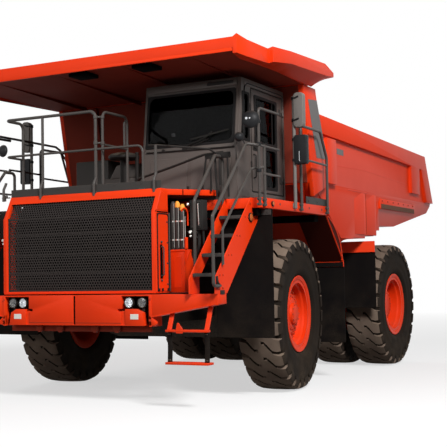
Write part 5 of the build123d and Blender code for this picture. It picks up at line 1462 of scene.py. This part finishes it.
def make_mirrors():
    y = MIRROR_STATION

    tall = Piece("tall_mirror_heads", mirror_grey, stands_for="mirrors")
    tall.pair(head((2.312, 3.69), (2.47, 4.185), 0.055, 6, -0.045, 0.045), 0.016, 3)
    tall.pair(rod((POST_X, y, 2.56), (POST_X, y, 4.14), 0.024, 20), 0.004)
    tall.pair(block((2.279, y - 0.045, 2.57), (2.292, y + 0.045, 2.64)), 0.004)

    low = Piece("low_mirror_heads", mirror_black)
    low.pair(head((2.312, 3.178), (2.508, 3.588), 0.03, 5, -0.044, 0.044), 0.014, 3)
    for z in (3.8, 4.11):
        arm = [(POST_X, y - 0.03, z), (2.35, y - 0.052, z), (2.4, y - 0.052, z + 0.018)]
        low.pair(tube(arm, 0.011, 0.02, 10))
    for z, half in ((3.8, 0.022), (4.11, 0.022), (3.24, 0.02), (3.53, 0.02)):
        low.pair(rod((POST_X, y, z - half), (POST_X, y, z + half), 0.033, 18), 0.004)

    glass = Piece("mirror_faces", chrome)
    glass.pair(head((2.324, 3.705), (2.458, 4.17), 0.045, 6, 0.04, 0.0475), 0.002)
    glass.pair(head((2.328, 3.194), (2.492, 3.572), 0.024, 5, 0.04, 0.0465), 0.002)
    glass.pair(tube([(2.402, y - 0.044, 3.218), (2.402, y - 0.062, 3.226), (2.402, y - 0.062, 3.352),
                     (2.402, y - 0.044, 3.36)], 0.007, 0.01, 8))

    discs = Piece("round_mirror_backs", mirror_black)
    # centre, the way the back points, radius, run of the arm, radius of the arm
    for centre, direction, radius, arm, arm_radius in (
            ((2.215, -1.655, 3.668), (0.25, -1.0, 0.1), 0.115,
             [(2.205, -1.642, 3.668), (2.225, -1.615, 3.665), (2.3, -1.6, 3.64)], 0.01),
            ((2.112, -1.79, 3.431), (0.2, -1.0, 0.05), 0.062,
             [(2.112, -1.785, 3.431), (2.13, -1.76, 3.425), (2.161, -1.725, 3.345)], 0.008),
            ((-1.372, -2.262, 3.455), (-0.15, -1.0, 0.05), 0.085,
             [(-1.372, -2.25, 3.455), (-1.35, -2.238, 3.45)], 0.009)):
        mirror_disc(discs, glass, centre, direction, radius)
        discs.add(tube(arm, arm_radius, 0.02, 8))
    for z in (3.345, 3.64, 3.0):
        discs.pair(rod((RAIL_X, -1.6, z - 0.022), (RAIL_X, -1.6, z + 0.022), 0.031, 16), 0.004)
    discs.add(rod((1.395, -2.235, 3.44), (1.395, -2.235, 3.48), 0.024, 12), 0.003)
    for x, z in ((2.185, 3.675), (2.225, 3.675), (2.262, 3.655)):
        glass.add(hex_bolt(0.011, 0.01, (x, -1.716 + (x - 2.185) * 0.45, z), (0.25, -1, 0.1)))


def make_rail_fittings():
    feet = Piece("handrail_feet", tube_grey)
    silver = Piece("handrail_clamps", tube_grey)
    for y in (-1.6, -1.44, -0.224, 0.76):
        for z in (2.56, 2.63):
            feet.pair(block((2.279, y - 0.042, z - 0.016), (2.291, y + 0.042, z + 0.016)), 0.003)
            feet.pair(rod((RAIL_X, y, z - 0.016), (RAIL_X, y, z + 0.016), 0.0265, 16), 0.003)
            silver.pair(bolt_row((2.2905, y - 0.033, z), (2.2905, y + 0.033, z), 2, LEFT, 0.0075, 0.007))
    y = FRONT_RAIL
    for x in (-1.34, -0.695, 0.19, 0.93):
        feet.add(block((x - 0.045, y - 0.045, 2.785), (x + 0.045, y + 0.045, 2.795)), 0.003)
        feet.add(rod((x, y, 2.79), (x, y, 2.825), 0.028, 16, 0.023), 0.002)
        for px in (x - 0.032, x + 0.032):
            silver.add(bolt_row((px, y - 0.032, 2.795), (px, y + 0.032, 2.795), 2, UP, 0.0075, 0.007))
    for z in (3.45, 3.8):
        feet.add(rod((0.19, y, z - 0.02), (0.19, y, z + 0.02), 0.03, 16), 0.003)
        feet.add(rod((0.19, y, z), (0.26, y + 0.06, z), 0.013, 10), 0.003)
        feet.add(rod((0.26, y + 0.06, z - 0.02), (0.26, y + 0.06, z + 0.02), 0.028, 16), 0.003)
    loop = [(0.26, y + step, z) for step, z in ((0.65, 3.82), (0.59, 3.8), (0.59, 3.47), (0.65, 3.45))]
    feet.add(tube(loop, 0.014, 0.03, 10))


make_mirrors()
make_rail_fittings()


# ---------------------------------------------------------------- deck and what stands on it
def make_deck():
    grip = Piece("deck_grip_mats", deck_grey)
    for low, high in (
            ((1.945, -1.44), (2.25, -0.56)), ((1.945, -0.36), (2.25, 0.74)), ((-1.2, -2.2), (0.36, -1.24)),
            ((-2.24, -1.44), (-1.16, -0.5)), ((-2.24, -0.38), (-1.16, 0.73))):
        z = 2.785 if low[1] < -2 else 2.66
        width, depth = high[0] - low[0], high[1] - low[1]
        grip.add(block((*low, z), (*high, z + 0.005)), 0.002)
        count = int(depth / 0.06)
        bar = block((0.0, -0.006, 0.0), (width - 0.04, 0.006, 0.005))
        row = copies(ROW, bar, Finish=deck_grey, Count=count, Step=(0, (depth - 0.04) / (count - 1), 0))
        grip.add(moved(row, Matrix.Translation((low[0] + 0.02, low[1] + 0.02, z + 0.0045))))

    cowl = Piece("deck_grey_cowl", cab_grey)
    cowl.add(block((-0.453, -1.153, 2.668), (0.253, -0.697, 3.083)), 0.018, 2)
    hood = [(-0.335, 3.07), (0.226, 3.07), (0.208, 3.278), (-0.205, 3.278)]
    cowl.add(prism(hood, "y", -1.15, -0.74), 0.022, 3)
    cowl.add(block((-0.36, -1.162, 2.72), (0.16, -1.15, 2.98)), 0.005)

    black = Piece("deck_intake_and_hoses", chassis_black)
    cap = [(0, 0.056), (0.11, 0.054), (0.19, 0.036), (0.22, 0.006), (0.22, -0.022), (0.2, -0.04),
           (0.11, -0.052), (0, -0.054)]
    black.add(lathe(cap, (0.09, -1.4, 3.352), UP, 40))
    black.add(rod((0.09, -1.4, 2.662), (0.09, -1.4, 3.31), 0.055, 20), 0.004)
    black.add(rod((0.307, -1.4, 2.662), (0.307, -1.4, 3.4), 0.026, 16), 0.004)
    black.add(block((0.08, -1.412, 3.3), (0.31, -1.388, 3.33)), 0.004)
    black.add(tube([(0.36, -1.56, 2.668), (0.37, -1.6, 2.9), (0.472, -1.62, 3.0), (0.967, -1.62, 3.118),
                    (1.487, -1.6, 3.262), (1.76, -1.56, 3.285)], 0.017, 0.1))
    black.add(block((1.515, -1.632, 3.195), (1.895, -1.606, 3.275)), 0.008, 2)
    for x, low, lean in ((1.535, 2.95, -0.05), (1.6, 2.76, 0.0), (1.665, 2.7, 0.02), (1.735, 2.84, 0.0),
                         (1.85, 2.68, 0.01)):
        hose = [(x, -1.62, 3.23), (x + lean * 0.5, -1.625, 3.05), (x + lean, -1.615, low)]
        black.add(tube(hose, 0.013, 0.05, 10))
    black.add(tube([(1.012, -2.235, 3.352), (1.125, -2.235, 3.35), (1.62, -1.7, 3.318), (1.69, -1.62, 3.26)],
                   0.013, 0.05, 10))
    for x in (1.2, 1.42):
        black.add(block((x, -1.575, 2.785), (x + 0.03, -1.545, 2.86)), 0.004)

    cap = Piece("deck_filler_cap", blank_white)
    can = [(0, 0), (0.024, 0), (0.026, 0.055), (0.02, 0.07), (0, 0.074)]
    cap.add(lathe(can, (-0.065, -1.176, 3.03), UP, 20))

    shelf = Piece("deck_filler_shelf", cab_grey)
    shelf.add(block((-0.105, -1.212, 3.018), (-0.025, -1.15, 3.032)), 0.003)

    feet = Piece("front_post_feet", tube_grey)
    for x, top in ((-1.34, 3.0), (-0.695, 3.0), (0.19, 3.0), (1.125, 3.35)):
        run = [(x, -2.236, top), (x, -2.236, 2.985), (x, -2.288, 2.9), (x, -2.288, 2.735)]
        feet.add(tube(run, 0.019, 0.05))
        feet.add(block((x - 0.035, -2.281, 2.738), (x + 0.035, -2.272, 2.784)), 0.002)

    bolts = Piece("deck_bolts", cast_dark)
    for x in (-1.1, -0.4, 0.5, 0.92):
        bolts.add(hex_bolt(0.009, 0.008, (x, -2.27, 2.865), AHEAD))
    rivet = [(0, 0.0015), (0.016, 0.0015), (0.018, 0.0), (0, -0.001)]
    for station in (-1.36, -0.92, 0.1, 0.58):
        bolts.pair(lathe(rivet, (2.2802, station, 2.598), LEFT, 16))
    for station in (0.08, 0.4, 0.7):
        bolts.pair(hex_bolt(0.009, 0.008, (2.28, station, 2.7), LEFT))

    lamps = Piece("marker_lamp_lenses", amber_glass, stands_for="marker_lamps")
    rings = Piece("marker_lamp_rings", rubber_black)
    for centre, r in (((2.14, -1.566, 2.4), 0.06), ((2.281, -1.175, 2.592), 0.034)):
        dome = [(0, 0.026), (r * 0.5, 0.0255), (r * 0.8, 0.02), (r * 0.86, 0.01), (r * 0.86, 0.0), (0, 0.0)]
        ridges = [[(r * a, 0.0262), (r * (a + 0.05), 0.0275), (r * (a + 0.1), 0.0262),
                   (r * (a + 0.05), 0.024)] for a in (0.28, 0.52)]
        for profile in (dome, *ridges):
            lamps.pair(lathe(profile, centre, LEFT, 32))
        bezel = [(r * 0.84, 0.0), (r, 0.0), (r, 0.014), (r * 0.94, 0.021), (r * 0.84, 0.021)]
        rings.pair(lathe(bezel, centre, LEFT, 32))


def make_right_rails():
    """Rails that only the truck's right side has, and the two boxes under the canopy."""
    rails = Piece("right_side_rails", tube_grey)
    x = -RAIL_X
    rails.add(tube([(x, -1.5, 3.815), (x, -1.228, 3.856), (x, 0.186, 3.844), (x, 0.317, 3.793),
                    (x, 0.571, 3.231), (x, 0.64, 2.67)], 0.019, 0.05))
    rails.add(tube([(x, 0.3, 3.8), (x, 0.72, 3.4)], 0.015, 0.05, 10))
    rails.add(tube([(x, -1.0, 3.358), (x, -0.24, 3.345)], 0.016, 0.05, 10))

    slots = Piece("canopy_lamp_boxes", black_and_shade, body="bed")
    for px in (-0.155, 0.87):
        slots.add(block((px - 0.15, -2.16, 4.405), (px + 0.15, -1.86, 4.458)), 0.01, 2)


make_deck()
make_right_rails()


# ---------------------------------------------------------------- chassis, axles, tanks and flaps
def make_under():
    strips = Piece("flap_clamp_strips", cast_dark)
    bolts = Piece("flap_bolts", cast_dark)
    strips.pair(block((1.515, -1.344, 2.435), (2.335, -1.3345, 2.505)), 0.002)
    bolts.pair(bolt_row((1.565, -1.343, 2.47), (2.285, -1.343, 2.47), 6, AHEAD, 0.012, 0.01))

    straps = Piece("tank_straps", cast_dark)
    outer, inner = rectangle((0.6, 1.014), (1.256, 1.786)), rectangle((0.61, 1.026), (1.244, 1.774))
    for y in (1.86, 2.42, 2.68):
        straps.pair(hoop(rounded(outer, 0.04), rounded(inner, 0.035), "y", y - 0.03, y + 0.03), 0.001)
    cap = [(0, 0), (0.07, 0), (0.07, 0.03), (0.06, 0.045), (0, 0.048)]
    straps.pair(lathe(cap, (1.1, 2.15, 1.78), UP, 24))

    # Painted shade: the curved cheeks and a thin plate on the fender's front take this dark red in place of
    # the shadow under the fender.
    cheeks = Piece("fender_curved_edges", fender_shade_red)
    arc = [(0.8, 2.515), (0.886, 2.512), (1.075, 2.407), (1.214, 2.29), (1.3, 2.19), (1.345, 2.123),
           (1.392, 2.0), (1.424, 1.862), (1.115, 2.18)]
    cheeks.pair(prism(arc, "x", 2.255, 2.27), 0.003)
    front, foot = 0.764, 1.4375
    shade = [(front, 2.523), (foot, 1.85), (foot, 1.84), (foot - 0.003, 1.84), (front - 0.004, 2.519)]
    cheeks.pair(prism(shade, "x", 1.8, 2.262))

    edge = Piece("fender_edge_strips", orange)
    inner = [(s - 0.016, z - 0.012) for s, z in arc[:-1]]
    edge.pair(prism(arc[:-1] + inner[::-1], "x", 2.248, 2.2785), 0.003)

    cover = Piece("fender_flap_clamps", flap_sheet)
    cover.pair(block((1.262, foot - 0.001, 1.757), (2.27, foot + 0.004, 1.826)), 0.001)

    lines = Piece("chassis_pipes", chassis_black)
    x = 0.612
    for z in (1.38, 1.3, 1.22):
        lines.pair(tube([(x, -0.9, z), (x, 0.6, z), (x, 1.4, z - 0.02), (x, 3.0, z - 0.02)], 0.014, 0.1, 10))

    section = [(0.099, -0.02), (0.1025, -0.02), (0.1025, 0.02), (0.099, 0.02)]
    for side_name, _ in SIDES:
        node = "hoist_barrel_" + side_name
        low, high = packed_box(node)
        length = Vector((0, high.y - low.y, high.z - low.z)).length
        along = joint_axis("hoist_stroke_" + side_name)
        ring = Piece("hoist_gland_" + side_name, steel, body_of(node))
        for share in (0.2, 0.62):
            centre = joint_place("hoist_foot_" + side_name) + along * ((length - 0.3) * share + 0.12)
            ring.add(lathe(section, centre, along, 32))


make_under()


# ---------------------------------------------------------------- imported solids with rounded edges
# node, finish, width of the rounding, steps of the rounding
softened_nodes((
    ("front_housing", orange, 0.007, 2), ("access_stairs", orange, 0.005, 1),
    ("cab_shell", cab_grey, 0.016, 3), ("cab_controls", moulded, 0.006, 1),
    ("cab_door", cab_grey, 0.01, 2), ("bed_side_walls", orange, 0.01, 2),
    ("bed_headboard", orange, 0.008, 2), ("bed_canopy", orange, 0.014, 3), ("bed_floor", orange, 0.01, 1),
    ("upper_deck", orange, 0.006, 2), ("deck_kick_plates", deck_grey, 0.0025, 1),
    ("deck_boxes", deck_grey, 0.014, 2),
    ("deck_supports", black_and_shade, 0.006, 1), ("chassis_frame", chassis_black, 0.008, 2),
    ("front_axle_beam", cast_dark, 0.016, 2), ("rear_axle", cast_dark, 0.016, 2),
    ("engine_and_radiator", cast_dark, 0.01, 1), ("side_tanks", orange, 0.035, 3),
    ("fender_guards", orange, 0.0035, 1), ("mud_flaps", flap_sheet, 0.003, 1),
    ("steering_knuckle_left", cast_dark, 0.01, 1), ("steering_knuckle_right", cast_dark, 0.01, 1),
    ("hoist_barrel_left", cast_dark, 0.006, 1), ("hoist_barrel_right", cast_dark, 0.006, 1),
))

for piece in PIECES:
    piece.done()
